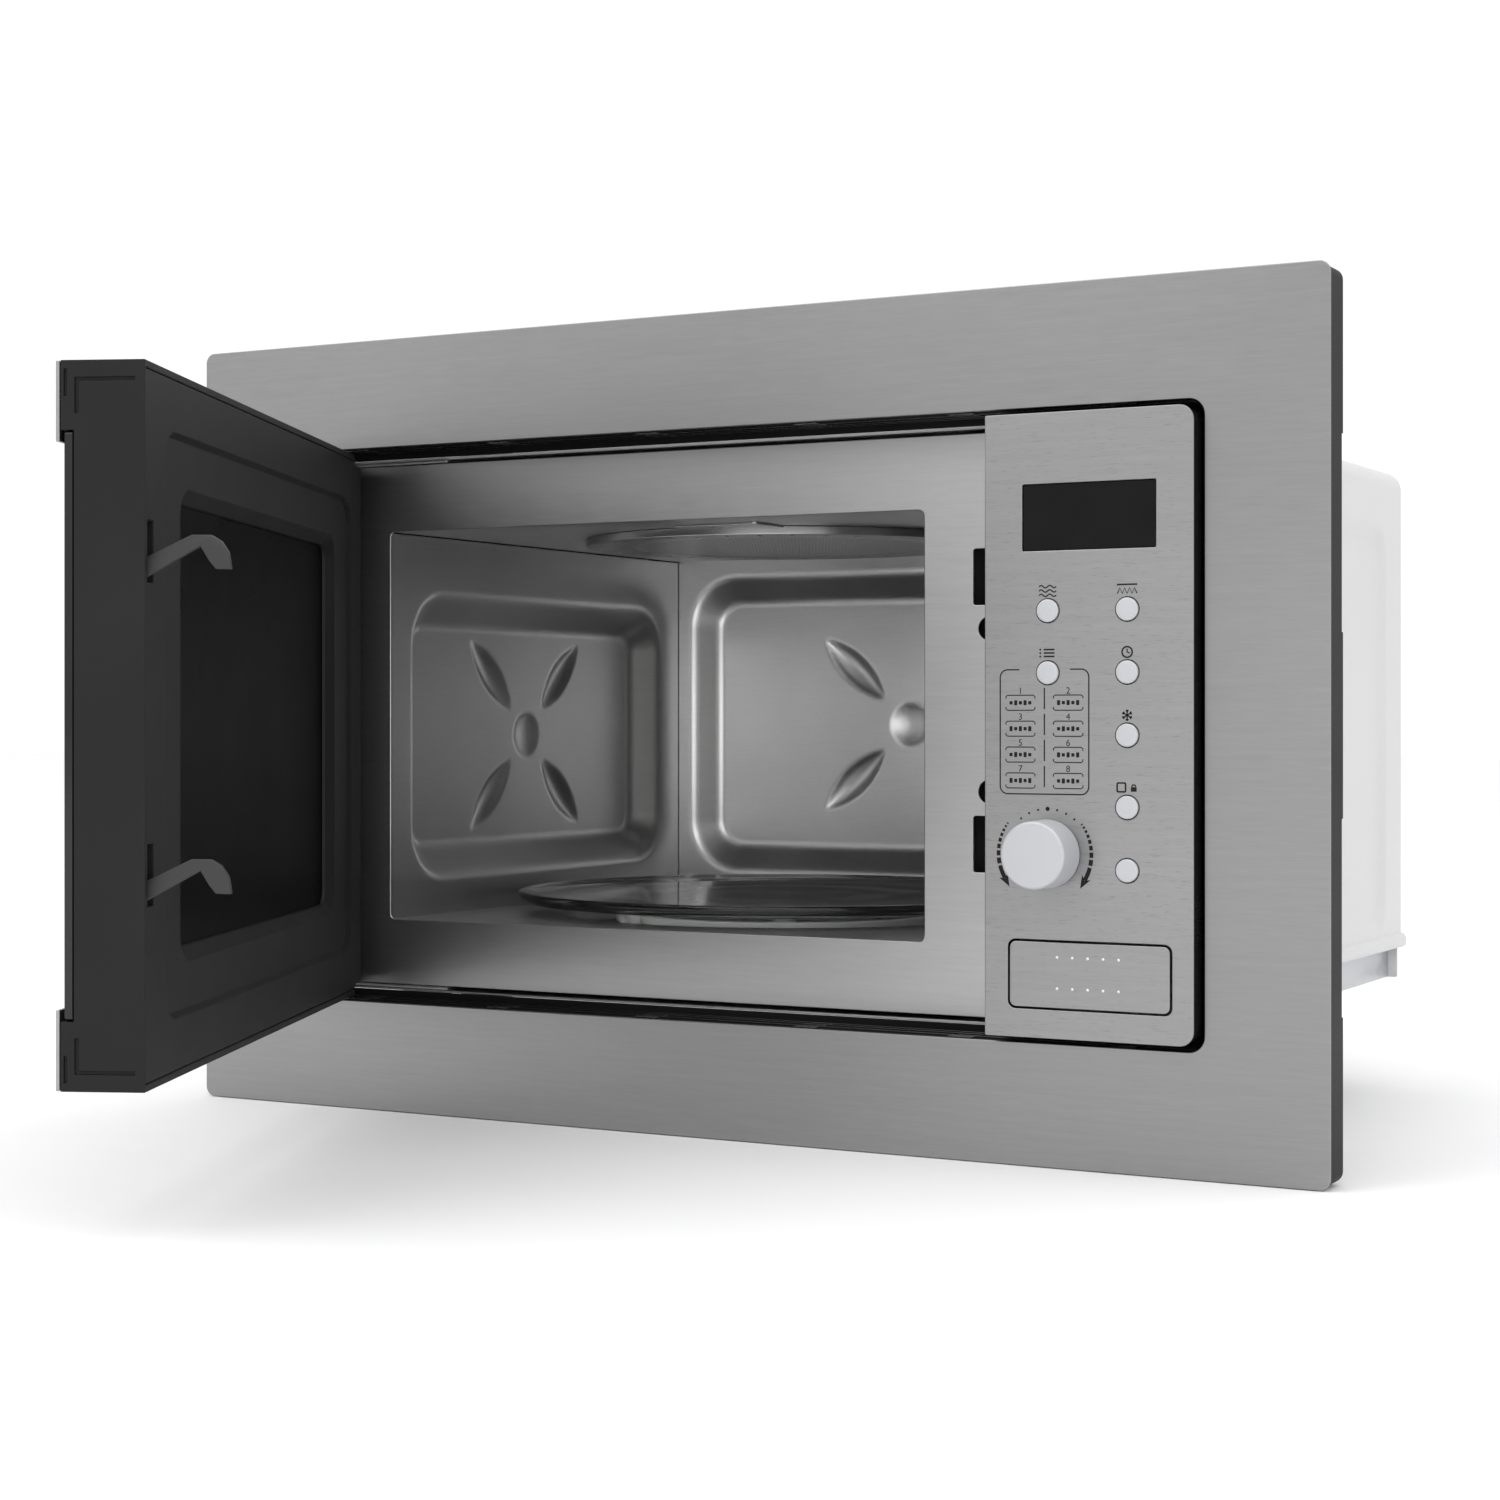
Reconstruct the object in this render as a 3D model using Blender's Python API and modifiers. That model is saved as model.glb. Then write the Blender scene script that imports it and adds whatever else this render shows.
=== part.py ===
"""Built-in microwave oven with a grill, its trim frame and an open side-hinged door.

The oven frame has its zero in the middle of the trim's front face: X to the right, Y into the
cupboard, Z up. Every size below is in that frame and in millimetres. The whole oven hangs on one
empty, which puts the world's zero on the trim's rear face, where its lower rail meets the cupboard.
The door is drawn closed and then turned open about its hinge pins.
"""
import math

import bmesh
import bpy
from mathutils import Matrix, Vector

MM = 0.001                      # the sizes below are millimetres, Blender's are metres
GAP = 0.3                       # clearance between pieces that touch
WELD = 1e-6                     # metres, for closing the caps of evaluated curves

# ---- driving sizes: trim and oven body
TRIM_W = 595.0
TRIM_H = 388.0
TRIM_DEPTH = 21.0
TRIM_SIDE_GAP = 7.6             # from the cabinet's side to the trim's opening
TRIM_TOP_GAP = 3.1
TRIM_CORNER = 5.0
OPENING_CORNER = 7.0
HINGE_CORNER = 4.0              # sharper corners where the door swings through the opening
FACING_T = 1.2                  # brushed steel sheet
CARRIER_WALL = 2.4              # moulded trim frame behind it
LIP_WIDTH = 3.1                 # inward lip behind the door

PLATE_Y = 29.0                  # front face of the oven's front plate
PLATE_T = 1.2
PLATE_HALF_W = 238.0
PLATE_HALF_H = 133.2

CABINET_W = 471.0
CABINET_H = 273.0
CABINET_REAR = 354.0
SHEET_T = 1.2                   # cabinet sheet steel
WRAP_BOTTOM = -120.0            # lower edge of the outer wrapper
FOOT_H = 6.5
FOOT_R = 15.0

# ---- driving sizes: cavity
CAVITY_LEFT = -200.4
CAVITY_RIGHT = 99.9
CAVITY_TOP = 99.4
CAVITY_BOTTOM = -100.0
CAVITY_REAR = 331.5
CAVITY_T = 1.0
DISH_R = 118.0                  # round dish in the floor for the roller ring
DISH_DEPTH = 9.0

# ---- driving sizes: door, drawn closed
DOOR_LEFT = -240.0
DOOR_RIGHT = 143.0
DOOR_HALF_H = 137.5
DOOR_INNER_Y = 27.5
DOOR_WALL = 3.0
HINGE_X = -231.0
HINGE_Y = 4.1
DOOR_OPEN_DEG = 66.1            # how far the door stands open at rest
HINGE_PIN_R = 3.0
STRIP_H = 30.7                  # steel strips along the door's top and bottom
STRIP_T = 1.5
STRIP_FRONT_Y = -6.9
GLASS_T = 3.4
GLASS_FRONT_Y = -3.8

# ---- driving sizes: control panel
PANEL_LEFT = 145.0
PANEL_RIGHT = 240.6
PANEL_HALF_H = 136.6
PANEL_FRONT_Y = -6.5
PANEL_SHEET_T = 1.0
PANEL_WALL = 2.0
BUTTON_R = 5.0
BUTTON_TRAVEL = 1.2
KNOB_R = 14.8
KNOB_FRONT_Y = -25.0
RELEASE_TRAVEL = 6.0

# ---- driving sizes: turntable, latch, fan
TURNTABLE_R = 143.0
GLASS_PLATE_T = 4.5
ROLLER_R = 6.85
ROLLER_TRACK_R = 95.0
LATCH_X = 136.3
HOOK_T = 3.0
HOOK_PITCH = 122.0
FAN_R = 43.0

# ---- places worked out from the sizes above
TRIM_X = TRIM_W / 2
TRIM_Z = TRIM_H / 2
CAB_X = CABINET_W / 2
CAB_Z = CABINET_H / 2
OPEN_X = CAB_X + TRIM_SIDE_GAP
OPEN_Z = CAB_Z + TRIM_TOP_GAP
CABINET_FRONT = PLATE_Y + PLATE_T + GAP
TURN_X = (CAVITY_LEFT + CAVITY_RIGHT) / 2
TURN_Y = (PLATE_Y + CAVITY_REAR) / 2
DISH_Z = CAVITY_BOTTOM - DISH_DEPTH
ROLLER_Z = DISH_Z + GAP + ROLLER_R
GLASS_PLATE_Z = ROLLER_Z + ROLLER_R + GAP
DOOR_MID_X = (DOOR_LEFT + DOOR_RIGHT) / 2
DOOR_HALF_W = (DOOR_RIGHT - DOOR_LEFT) / 2
RAIL_MID_X = (TRIM_X + OPEN_X) / 2
RAIL_MID_Z = -(TRIM_Z + OPEN_Z) / 2
DEFAULT_SIDES = 24


# ------------------------------------------------------------------ scene, materials
for old in list(bpy.data.objects):
    bpy.data.objects.remove(old, do_unlink=True)

PARTS = bpy.data.collections.new("microwave_oven")
CUTTERS = bpy.data.collections.new("cutters")
for group in (PARTS, CUTTERS):
    bpy.context.scene.collection.children.link(group)


def material(name, colour, roughness, metallic=0.0, alpha=1.0):
    """A Principled BSDF material."""
    made = bpy.data.materials.new(name)
    made.use_nodes = True
    shader = made.node_tree.nodes["Principled BSDF"]
    shader.inputs["Base Color"].default_value = (*colour, 1.0)
    shader.inputs["Roughness"].default_value = roughness
    shader.inputs["Metallic"].default_value = metallic
    shader.inputs["Alpha"].default_value = alpha
    return made


BRUSHED = material("brushed_steel", (0.42, 0.42, 0.42), 0.32, 1.0)
CAVITY_STEEL = material("cavity_steel", (0.34, 0.34, 0.34), 0.38, 1.0)
ZINC = material("zinc_plate", (0.62, 0.63, 0.64), 0.35, 1.0)
WHITE_PAINT = material("white_cabinet_paint", (0.82, 0.82, 0.83), 0.45)
BLACK_PLASTIC = material("black_plastic", (0.035, 0.035, 0.037), 0.42)
SILVER_PLASTIC = material("silver_plastic", (0.72, 0.73, 0.75), 0.35)
WHITE_PLASTIC = material("white_plastic", (0.8, 0.8, 0.78), 0.4)
BLACK_GLASS = material("black_glass", (0.01, 0.01, 0.012), 0.05)
CLEAR_GLASS = material("clear_glass", (0.9, 0.92, 0.92), 0.03, 0.0, 0.35)
SMOKED = material("smoked_window", (0.012, 0.012, 0.014), 0.12)
MICA = material("mica", (0.62, 0.6, 0.52), 0.6)
RUBBER = material("rubber", (0.05, 0.05, 0.05), 0.8)
CIRCUIT = material("circuit_board", (0.05, 0.16, 0.09), 0.5)
COPPER = material("copper_windings", (0.6, 0.3, 0.15), 0.4, 1.0)
ALUMINIUM = material("aluminium", (0.7, 0.7, 0.71), 0.35, 1.0)
HEATER = material("heater_sheath", (0.25, 0.24, 0.23), 0.5, 1.0)

OVEN = bpy.data.objects.new("microwave_oven_frame", None)
OVEN.location = Vector((0.0, -TRIM_DEPTH, -RAIL_MID_Z)) * MM
PARTS.objects.link(OVEN)

DOOR = bpy.data.objects.new("door_hinge_axis", None)
DOOR.parent = OVEN
DOOR.location = Vector((HINGE_X, HINGE_Y, 0.0)) * MM
DOOR.rotation_euler = (0.0, 0.0, -math.radians(DOOR_OPEN_DEG))
PARTS.objects.link(DOOR)


# ------------------------------------------------------------------ shapes
def to_mesh(bm, name="shape"):
    """Free a bmesh into a mesh whose faces point out."""
    bmesh.ops.remove_doubles(bm, verts=bm.verts, dist=WELD)
    bmesh.ops.recalc_face_normals(bm, faces=bm.faces)
    mesh = bpy.data.meshes.new(name)
    bm.to_mesh(mesh)
    bm.free()
    return mesh


def block(x, y, z, bevel=0.0, segments=1):
    """A box between two values along each axis, with its edges rounded if asked."""
    size = [abs(a[1] - a[0]) * MM for a in (x, y, z)]
    middle = [(a[1] + a[0]) / 2 * MM for a in (x, y, z)]
    bm = bmesh.new()
    bmesh.ops.create_cube(bm, size=1.0, matrix=Matrix.LocRotScale(middle, None, size))
    if bevel:
        bmesh.ops.bevel(bm, geom=bm.edges, offset=bevel * MM, segments=segments, profile=0.5,
                        affect="EDGES", clamp_overlap=True)
    return to_mesh(bm)


def rod(start, end, radius, end_radius=None, sides=DEFAULT_SIDES):
    """A cylinder or cone between two points."""
    start, end = Vector(start) * MM, Vector(end) * MM
    along = end - start
    turn = along.to_track_quat("Z", "Y")
    bm = bmesh.new()
    bmesh.ops.create_cone(bm, cap_ends=True, segments=sides, radius1=radius * MM,
                          radius2=(radius if end_radius is None else end_radius) * MM,
                          depth=along.length, matrix=Matrix.LocRotScale((start + end) / 2, turn, None))
    return to_mesh(bm)


def join(*meshes):
    """Several shapes that don't touch, as one mesh."""
    bm = bmesh.new()
    for mesh in meshes:
        bm.from_mesh(mesh)
    return to_mesh(bm)


def moved(mesh, offset=(0, 0, 0), turn=None, about=(0, 0, 0)):
    """A copy of a shape, turned about a point and then shifted."""
    copy = mesh.copy()
    pivot = Vector(about) * MM
    matrix = Matrix.Translation(Vector(offset) * MM)
    if turn is not None:
        matrix = matrix @ Matrix.Translation(pivot) @ turn.to_4x4() @ Matrix.Translation(-pivot)
    copy.transform(matrix)
    return copy


def evaluated_mesh(data):
    """The mesh of a curve or of a mesh with modifiers, welded, and the helper object removed."""
    obj = data if isinstance(data, bpy.types.Object) else bpy.data.objects.new("helper", data)
    bpy.context.scene.collection.objects.link(obj)
    depsgraph = bpy.context.evaluated_depsgraph_get()
    mesh = bpy.data.meshes.new_from_object(obj.evaluated_get(depsgraph))
    bpy.data.objects.remove(obj, do_unlink=True)
    bm = bmesh.new()
    bm.from_mesh(mesh)
    return to_mesh(bm)


def rounded_rect(half_u, half_v, radius, centre=(0.0, 0.0), steps=3):
    """Corner points of a rectangle with round corners, anticlockwise; radius may be one per corner."""
    radii = radius if isinstance(radius, (tuple, list)) else (radius,) * 4
    points = []
    for corner, (su, sv) in enumerate(((1, 1), (-1, 1), (-1, -1), (1, -1))):
        r = radii[corner]
        for step in range(steps + 1):
            angle = math.pi / 2 * (corner + step / steps)
            points.append((centre[0] + su * (half_u - r) + r * math.cos(angle),
                           centre[1] + sv * (half_v - r) + r * math.sin(angle)))
    return points


def span_rect(u, v, radius=0.0, steps=3):
    """A rounded rectangle given by its two spans."""
    centre = ((u[0] + u[1]) / 2, (v[0] + v[1]) / 2)
    if not radius:
        return [(u[1], v[1]), (u[0], v[1]), (u[0], v[0]), (u[1], v[0])]
    return rounded_rect((u[1] - u[0]) / 2, (v[1] - v[0]) / 2, radius, centre, steps)


def circle(centre, radius, sides=DEFAULT_SIDES):
    """Points of a circle."""
    return [(centre[0] + radius * math.cos(2 * math.pi * i / sides),
             centre[1] + radius * math.sin(2 * math.pi * i / sides)) for i in range(sides)]


PLANES = {                       # where a flat outline's own axes u, v and its thickness point
    "xz": Matrix(((1, 0, 0), (0, 0, 1), (0, 1, 0))),
    "xy": Matrix(((1, 0, 0), (0, 1, 0), (0, 0, 1))),
    "yz": Matrix(((0, 0, 1), (1, 0, 0), (0, 1, 0))),
}


def plate(plane, outline, span, holes=()):
    """A flat outline with holes, drawn in a plane and thickened over a span across it."""
    curve = bpy.data.curves.new("outline", "CURVE")
    curve.dimensions = "2D"
    curve.fill_mode = "BOTH"
    curve.extrude = abs(span[1] - span[0]) / 2 * MM
    for points in (outline, *holes):
        spline = curve.splines.new("POLY")
        spline.points.add(len(points) - 1)
        spline.use_cyclic_u = True
        for target, (u, v) in zip(spline.points, points):
            target.co = (u * MM, v * MM, 0.0, 1.0)
    mesh = evaluated_mesh(curve)
    shift = Matrix.Translation((0, 0, (span[0] + span[1]) / 2 * MM))
    mesh.transform(PLANES[plane].to_4x4() @ shift)
    bm = bmesh.new()
    bm.from_mesh(mesh)
    return to_mesh(bm)


def turned(profile, centre, axis="Z", sides=DEFAULT_SIDES):
    """A profile of (radius, height) points, which starts and ends on the axis or closes on itself."""
    closed = min(r for r, _ in profile) > 0
    count = len(profile)
    mesh = bpy.data.meshes.new("profile")
    edges = [(i, (i + 1) % count) for i in range(count if closed else count - 1)]
    mesh.from_pydata([(r * MM, 0.0, h * MM) for r, h in profile], edges, [])
    obj = bpy.data.objects.new("turning", mesh)
    screw = obj.modifiers.new("Screw", "SCREW")
    screw.steps = screw.render_steps = sides
    screw.use_merge_vertices = True
    screw.merge_threshold = WELD
    body = evaluated_mesh(obj)
    if axis == "Y":
        body.transform(Matrix.Rotation(-math.pi / 2, 4, "X"))
    if axis == "X":
        body.transform(Matrix.Rotation(math.pi / 2, 4, "Y"))
    body.transform(Matrix.Translation(Vector(centre) * MM))
    bm = bmesh.new()
    bm.from_mesh(body)
    return to_mesh(bm)


def wire(points, radius, resolution=2):
    """A round wire along points, with closed ends."""
    curve = bpy.data.curves.new("wire", "CURVE")
    curve.dimensions = "3D"
    curve.bevel_depth = radius * MM
    curve.bevel_resolution = resolution
    curve.use_fill_caps = True
    spline = curve.splines.new("POLY")
    spline.points.add(len(points) - 1)
    for target, point in zip(spline.points, points):
        target.co = (*(Vector(point) * MM), 1.0)
    return evaluated_mesh(curve)


def frame_loft(sections, centre, steps=3):
    """A closed ring: rounded rectangles (half width, half height, radius, y) joined one to the next."""
    bm = bmesh.new()
    loops = []
    for half_u, half_v, radius, y in sections:
        points = rounded_rect(half_u, half_v, radius, centre, steps)
        loops.append([bm.verts.new((u * MM, y * MM, v * MM)) for u, v in points])
    for i, loop in enumerate(loops):
        following = loops[(i + 1) % len(loops)]
        for j in range(len(loop)):
            k = (j + 1) % len(loop)
            bm.faces.new((loop[j], loop[k], following[k], following[j]))
    return to_mesh(bm)


def place(name, mesh, finish, axis=(0, 0, 0), parent=OVEN, add=(), cut=(), smooth=None):
    """Make a sub-part: its mesh with shapes united and cut, its origin at axis under its parent."""
    home = Vector(axis) * MM
    base = Vector((HINGE_X, HINGE_Y, 0.0)) * MM if parent is DOOR else Vector()
    obj = bpy.data.objects.new(name, mesh)
    mesh.name = name
    mesh.transform(Matrix.Translation(-home))
    mesh.materials.clear()
    mesh.materials.append(finish)
    if smooth:
        mesh.shade_smooth()
        mesh.set_sharp_from_angle(angle=math.radians(smooth))
    obj.parent = parent
    obj.location = home - base
    PARTS.objects.link(obj)
    for operation, shapes in (("UNION", add), ("DIFFERENCE", cut)):
        for number, shape in enumerate(shapes):
            shape.transform(Matrix.Translation(-home))
            tool = bpy.data.objects.new(f"{name}_{operation.lower()}_{number}", shape)
            tool.parent = parent
            tool.location = obj.location
            tool.hide_render = True
            tool.display_type = "WIRE"
            CUTTERS.objects.link(tool)
            boolean = obj.modifiers.new(f"{operation}_{number}", "BOOLEAN")
            boolean.operation = operation
            boolean.object = tool
            boolean.solver = "EXACT"
    return obj


# ------------------------------------------------------------------ trim frame


def opening_corners(spare):
    """Corner radii of a loop this far outside the trim's opening; the hinge side is sharper."""
    return (OPENING_CORNER + spare, HINGE_CORNER + spare, HINGE_CORNER + spare, OPENING_CORNER + spare)


facing = plate("xz", rounded_rect(TRIM_X, TRIM_Z, TRIM_CORNER), (0.0, FACING_T),
               [rounded_rect(OPEN_X, OPEN_Z, opening_corners(0.0))])
place("trim_facing", facing, BRUSHED)

CARRIER_FRONT = FACING_T + GAP
CARRIER_INSET = 0.6             # the moulded frame stands this far inside the steel's edge
LIP_Y = PLATE_Y - 0.1
LIP_T = 1.6
STEP_BACK = 0.5                 # the surround behind the opening stands back from the steel's edge


def outer_loop(inset, y, radius):
    """A loop of the moulded frame this far inside the trim's outer edge."""
    return (TRIM_X - inset, TRIM_Z - inset, radius, y)


def inner_loop(outset, y):
    """A loop of the moulded frame this far outside the trim's opening."""
    return (OPEN_X + outset, OPEN_Z + outset, opening_corners(outset), y)


carrier = frame_loft([
    outer_loop(CARRIER_INSET, CARRIER_FRONT, TRIM_CORNER),
    outer_loop(CARRIER_INSET, TRIM_DEPTH, TRIM_CORNER),
    outer_loop(CARRIER_INSET + CARRIER_WALL, TRIM_DEPTH, TRIM_CORNER - 2),
    outer_loop(CARRIER_INSET + CARRIER_WALL, CARRIER_FRONT + CARRIER_WALL, TRIM_CORNER - 2),
    inner_loop(CARRIER_WALL, CARRIER_FRONT + CARRIER_WALL),
    inner_loop(CARRIER_WALL, LIP_Y + LIP_T),
    inner_loop(-LIP_WIDTH, LIP_Y + LIP_T),
    inner_loop(-LIP_WIDTH, LIP_Y),
    inner_loop(STEP_BACK, LIP_Y),
    inner_loop(STEP_BACK, CARRIER_FRONT),
], (0.0, 0.0))

PAD_HALF_W = 18.0
PAD_HALF_H = 12.0
PAD_PITCH = 200.0
NOTCH_NEAR, NOTCH_FAR, NOTCH_DEPTH = 39.5, 123.4, 1.8
pads = []
for side in (-1, 1):
    for column in (-1, 0, 1):
        x = column * PAD_PITCH
        z = side * -RAIL_MID_Z
        pads.append(block((x - PAD_HALF_W, x + PAD_HALF_W), (CARRIER_FRONT + 1, TRIM_DEPTH),
                          (z - PAD_HALF_H, z + PAD_HALF_H)))
    x = side * RAIL_MID_X
    pads.append(block((x - PAD_HALF_H, x + PAD_HALF_H), (CARRIER_FRONT + 1, TRIM_DEPTH),
                      (-PAD_HALF_W, PAD_HALF_W)))
LUG_X, LUG_HALF_W, LUG_T, LUG_REACH = 150.0, 12.0, 1.8, 20.0
lugs = []
for side_z in (-1, 1):
    for side_x in (-1, 1):
        lugs.append(block((side_x * LUG_X - LUG_HALF_W, side_x * LUG_X + LUG_HALF_W),
                          (LIP_Y + 0.5, LIP_Y + LUG_REACH),
                          (side_z * (CAB_Z + GAP), side_z * (CAB_Z + GAP + LUG_T))))
notches = []
for side_x in (-1, 1):
    for side_z in (-1, 1):
        notches.append(block((side_x * (TRIM_X - 4), side_x * (TRIM_X + 1)),
                             (TRIM_DEPTH - NOTCH_DEPTH, TRIM_DEPTH + 1),
                             (side_z * NOTCH_NEAR, side_z * NOTCH_FAR)))
place("trim_carrier", carrier, BLACK_PLASTIC, add=[join(*pads), join(*lugs)], cut=[join(*notches)])

# ------------------------------------------------------------------ front plate and cavity
LATCH_SLOT_X = (124.5, 143.5)
LATCH_SLOT_TOP, LATCH_SLOT_BOTTOM = 80.6, 54.9
ROD_X, ROD_R = 163.0, 2.5
WIRING_HOLE_X = (172.0, 224.0)


def panel_z(share):
    """A height on the control panel, as a share of its half height."""
    return share * PANEL_HALF_H


ROD_Z = panel_z(-0.732)
WIRING_HOLE_Z = (panel_z(-0.22), panel_z(0.695))
front_holes = [
    span_rect((CAVITY_LEFT, CAVITY_RIGHT), (CAVITY_BOTTOM, CAVITY_TOP), 3.0, 2),
    span_rect(LATCH_SLOT_X, (LATCH_SLOT_BOTTOM, LATCH_SLOT_TOP)),
    span_rect(LATCH_SLOT_X, (LATCH_SLOT_BOTTOM - HOOK_PITCH, LATCH_SLOT_TOP - HOOK_PITCH)),
    span_rect(WIRING_HOLE_X, WIRING_HOLE_Z, 4.0, 2),
    circle((ROD_X, ROD_Z), ROD_R + 2.0, 16),
]
front_plate = plate("xz", span_rect((-PLATE_HALF_W, PLATE_HALF_W), (-PLATE_HALF_H, PLATE_HALF_H)),
                    (PLATE_Y, PLATE_Y + PLATE_T), front_holes)
place("front_plate", front_plate, BRUSHED)


def open_box(x, y, z, *missing):
    """Walls of a box as an open surface; missing holds the normals of the walls that are left out."""
    size = [(a[1] - a[0]) * MM for a in (x, y, z)]
    middle = [(a[1] + a[0]) / 2 * MM for a in (x, y, z)]
    bm = bmesh.new()
    bmesh.ops.create_cube(bm, size=1.0, matrix=Matrix.LocRotScale(middle, None, size))
    gone = [face for face in bm.faces if max(face.normal.dot(Vector(way)) for way in missing) > 0.9]
    bmesh.ops.delete(bm, geom=gone, context="FACES_ONLY")
    return bm


def press(bm, normal, u_axis, v_axis, outer, inner, depth):
    """Press a panel into the wall with this normal: an outer rectangle, then an inner one at a depth."""
    wall = [f for f in bm.faces if f.normal.dot(Vector(normal)) > 0.9][0]
    for (u, v), push in ((outer, 0.0), (inner, depth)):
        middle = wall.calc_center_median()
        signs = [(1 if p.co[u_axis] > middle[u_axis] else 0, 1 if p.co[v_axis] > middle[v_axis] else 0)
                 for p in wall.verts]
        bmesh.ops.inset_individual(bm, faces=[wall], thickness=1.0 * MM)
        for vert, (su, sv) in zip(wall.verts, signs):
            vert.co[u_axis] = u[su] * MM
            vert.co[v_axis] = v[sv] * MM
            vert.co += Vector(normal) * push * MM


def thickened(bm, thickness):
    """An open surface with a wall laid on its outer side."""
    mesh = bpy.data.meshes.new("skin")
    bm.to_mesh(mesh)
    bm.free()
    obj = bpy.data.objects.new("shell", mesh)
    wall = obj.modifiers.new("Solidify", "SOLIDIFY")
    wall.thickness = thickness * MM
    wall.offset = 1.0
    wall.use_even_offset = True
    return evaluated_mesh(obj)


SIDE_PRESS_DEPTH, BACK_PRESS_DEPTH = 14.0, 12.0
SIDE_PRESS_OUTER = ((49.5, 309.0), (-80.0, 68.5))
SIDE_PRESS_INNER = ((66.5, 292.0), (-66.0, 54.5))
BACK_PRESS_OUTER = ((-190.8, 90.3), (-88.0, 88.5))
BACK_PRESS_INNER = ((-175.8, 75.3), (-74.0, 74.5))
liner = open_box((CAVITY_LEFT, CAVITY_RIGHT), (PLATE_Y + PLATE_T + GAP, CAVITY_REAR),
                 (CAVITY_BOTTOM, CAVITY_TOP), (0, -1, 0))
press(liner, (-1, 0, 0), 1, 2, SIDE_PRESS_OUTER, SIDE_PRESS_INNER, SIDE_PRESS_DEPTH)
press(liner, (0, 1, 0), 0, 2, BACK_PRESS_OUTER, BACK_PRESS_INNER, BACK_PRESS_DEPTH)
GRILL_R = 98.0
GRILL_X, GRILL_Y = TURN_X, TURN_Y
MOUTH_Y, MOUTH_Z = (135.0, 195.0), (-10.0, 40.0)
SPINDLE_HOLE_R = 8.0
dish_wall = rod((TURN_X, TURN_Y, DISH_Z - CAVITY_T), (TURN_X, TURN_Y, CAVITY_BOTTOM - CAVITY_T / 2),
                DISH_R + CAVITY_T, sides=40)
dish_space = rod((TURN_X, TURN_Y, DISH_Z), (TURN_X, TURN_Y, CAVITY_BOTTOM + 5), DISH_R, sides=40)
floor_hole = rod((TURN_X, TURN_Y, DISH_Z - 5), (TURN_X, TURN_Y, DISH_Z + 5), SPINDLE_HOLE_R)
ceiling_hole = rod((GRILL_X, GRILL_Y, CAVITY_TOP - 5), (GRILL_X, GRILL_Y, CAVITY_TOP + 5), GRILL_R - 2,
                   sides=40)
mouth = block((CAVITY_RIGHT - 5, CAVITY_RIGHT + 5), MOUTH_Y, MOUTH_Z)
place("cavity_shell", thickened(liner, CAVITY_T), CAVITY_STEEL, add=[dish_wall],
      cut=[dish_space, floor_hole, join(ceiling_hole, mouth)])

# ------------------------------------------------------------------ cabinet
WRAP_CORNER = 10.0
BEAD_OUT, BEAD_TOP = 2.2, WRAP_BOTTOM + 8.0
wrap_half = [(CAB_X, WRAP_BOTTOM), (CAB_X + BEAD_OUT, WRAP_BOTTOM + 0.8),
             (CAB_X + BEAD_OUT, BEAD_TOP - 1.5), (CAB_X, BEAD_TOP)]
for step in range(4):
    angle = math.pi / 2 * step / 3
    wrap_half.append((CAB_X - WRAP_CORNER + WRAP_CORNER * math.cos(angle),
                      CAB_Z - WRAP_CORNER + WRAP_CORNER * math.sin(angle)))
wrap_line = wrap_half + [(-x, z) for x, z in reversed(wrap_half)]
skin = bmesh.new()
front_row = [skin.verts.new((x * MM, CABINET_FRONT * MM, z * MM)) for x, z in wrap_line]
front_edges = [skin.edges.new(pair) for pair in zip(front_row, front_row[1:])]
swept = bmesh.ops.extrude_edge_only(skin, edges=front_edges)
rear_row = [v for v in swept["geom"] if isinstance(v, bmesh.types.BMVert)]
bmesh.ops.translate(skin, verts=rear_row, vec=(0, (CABINET_REAR - CABINET_FRONT) * MM, 0))
skin.faces.ensure_lookup_table()
middle_z = (CAB_Z - WRAP_CORNER + BEAD_TOP) / 2 * MM
for face in skin.faces:
    outward = Vector((face.calc_center_median().x, 0, face.calc_center_median().z - middle_z))
    if face.normal.dot(outward) < 0:
        face.normal_flip()
SIDE_PANEL_Y, SIDE_PANEL_Z, SIDE_PANEL_IN, SIDE_PANEL_SLOPE = (64.0, 322.0), (-109.0, 104.0), 3.0, 5.0
for normal in ((1, 0, 0), (-1, 0, 0)):
    sides = [f for f in skin.faces if f.normal.dot(Vector(normal)) > 0.99]
    side = max(sides, key=lambda f: f.calc_area())
    for ring, push in ((0.0, 0.0), (SIDE_PANEL_SLOPE, -SIDE_PANEL_IN)):
        middle = side.calc_center_median()
        signs = [(v.co.y > middle.y, v.co.z > middle.z) for v in side.verts]
        bmesh.ops.inset_individual(skin, faces=[side], thickness=1.0 * MM)
        for vert, (sy, sz) in zip(side.verts, signs):
            vert.co.y = (SIDE_PANEL_Y[sy] + (-ring if sy else ring)) * MM
            vert.co.z = (SIDE_PANEL_Z[sz] + (-ring if sz else ring)) * MM
            vert.co.x += normal[0] * push * MM
wrap_mesh = bpy.data.meshes.new("wrap_skin")
skin.to_mesh(wrap_mesh)
skin.free()
wrap_obj = bpy.data.objects.new("wrap_helper", wrap_mesh)
wall = wrap_obj.modifiers.new("Solidify", "SOLIDIFY")
wall.thickness = SHEET_T * MM
wall.offset = -1.0
place("outer_wrapper", evaluated_mesh(wrap_obj), WHITE_PAINT)

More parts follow.
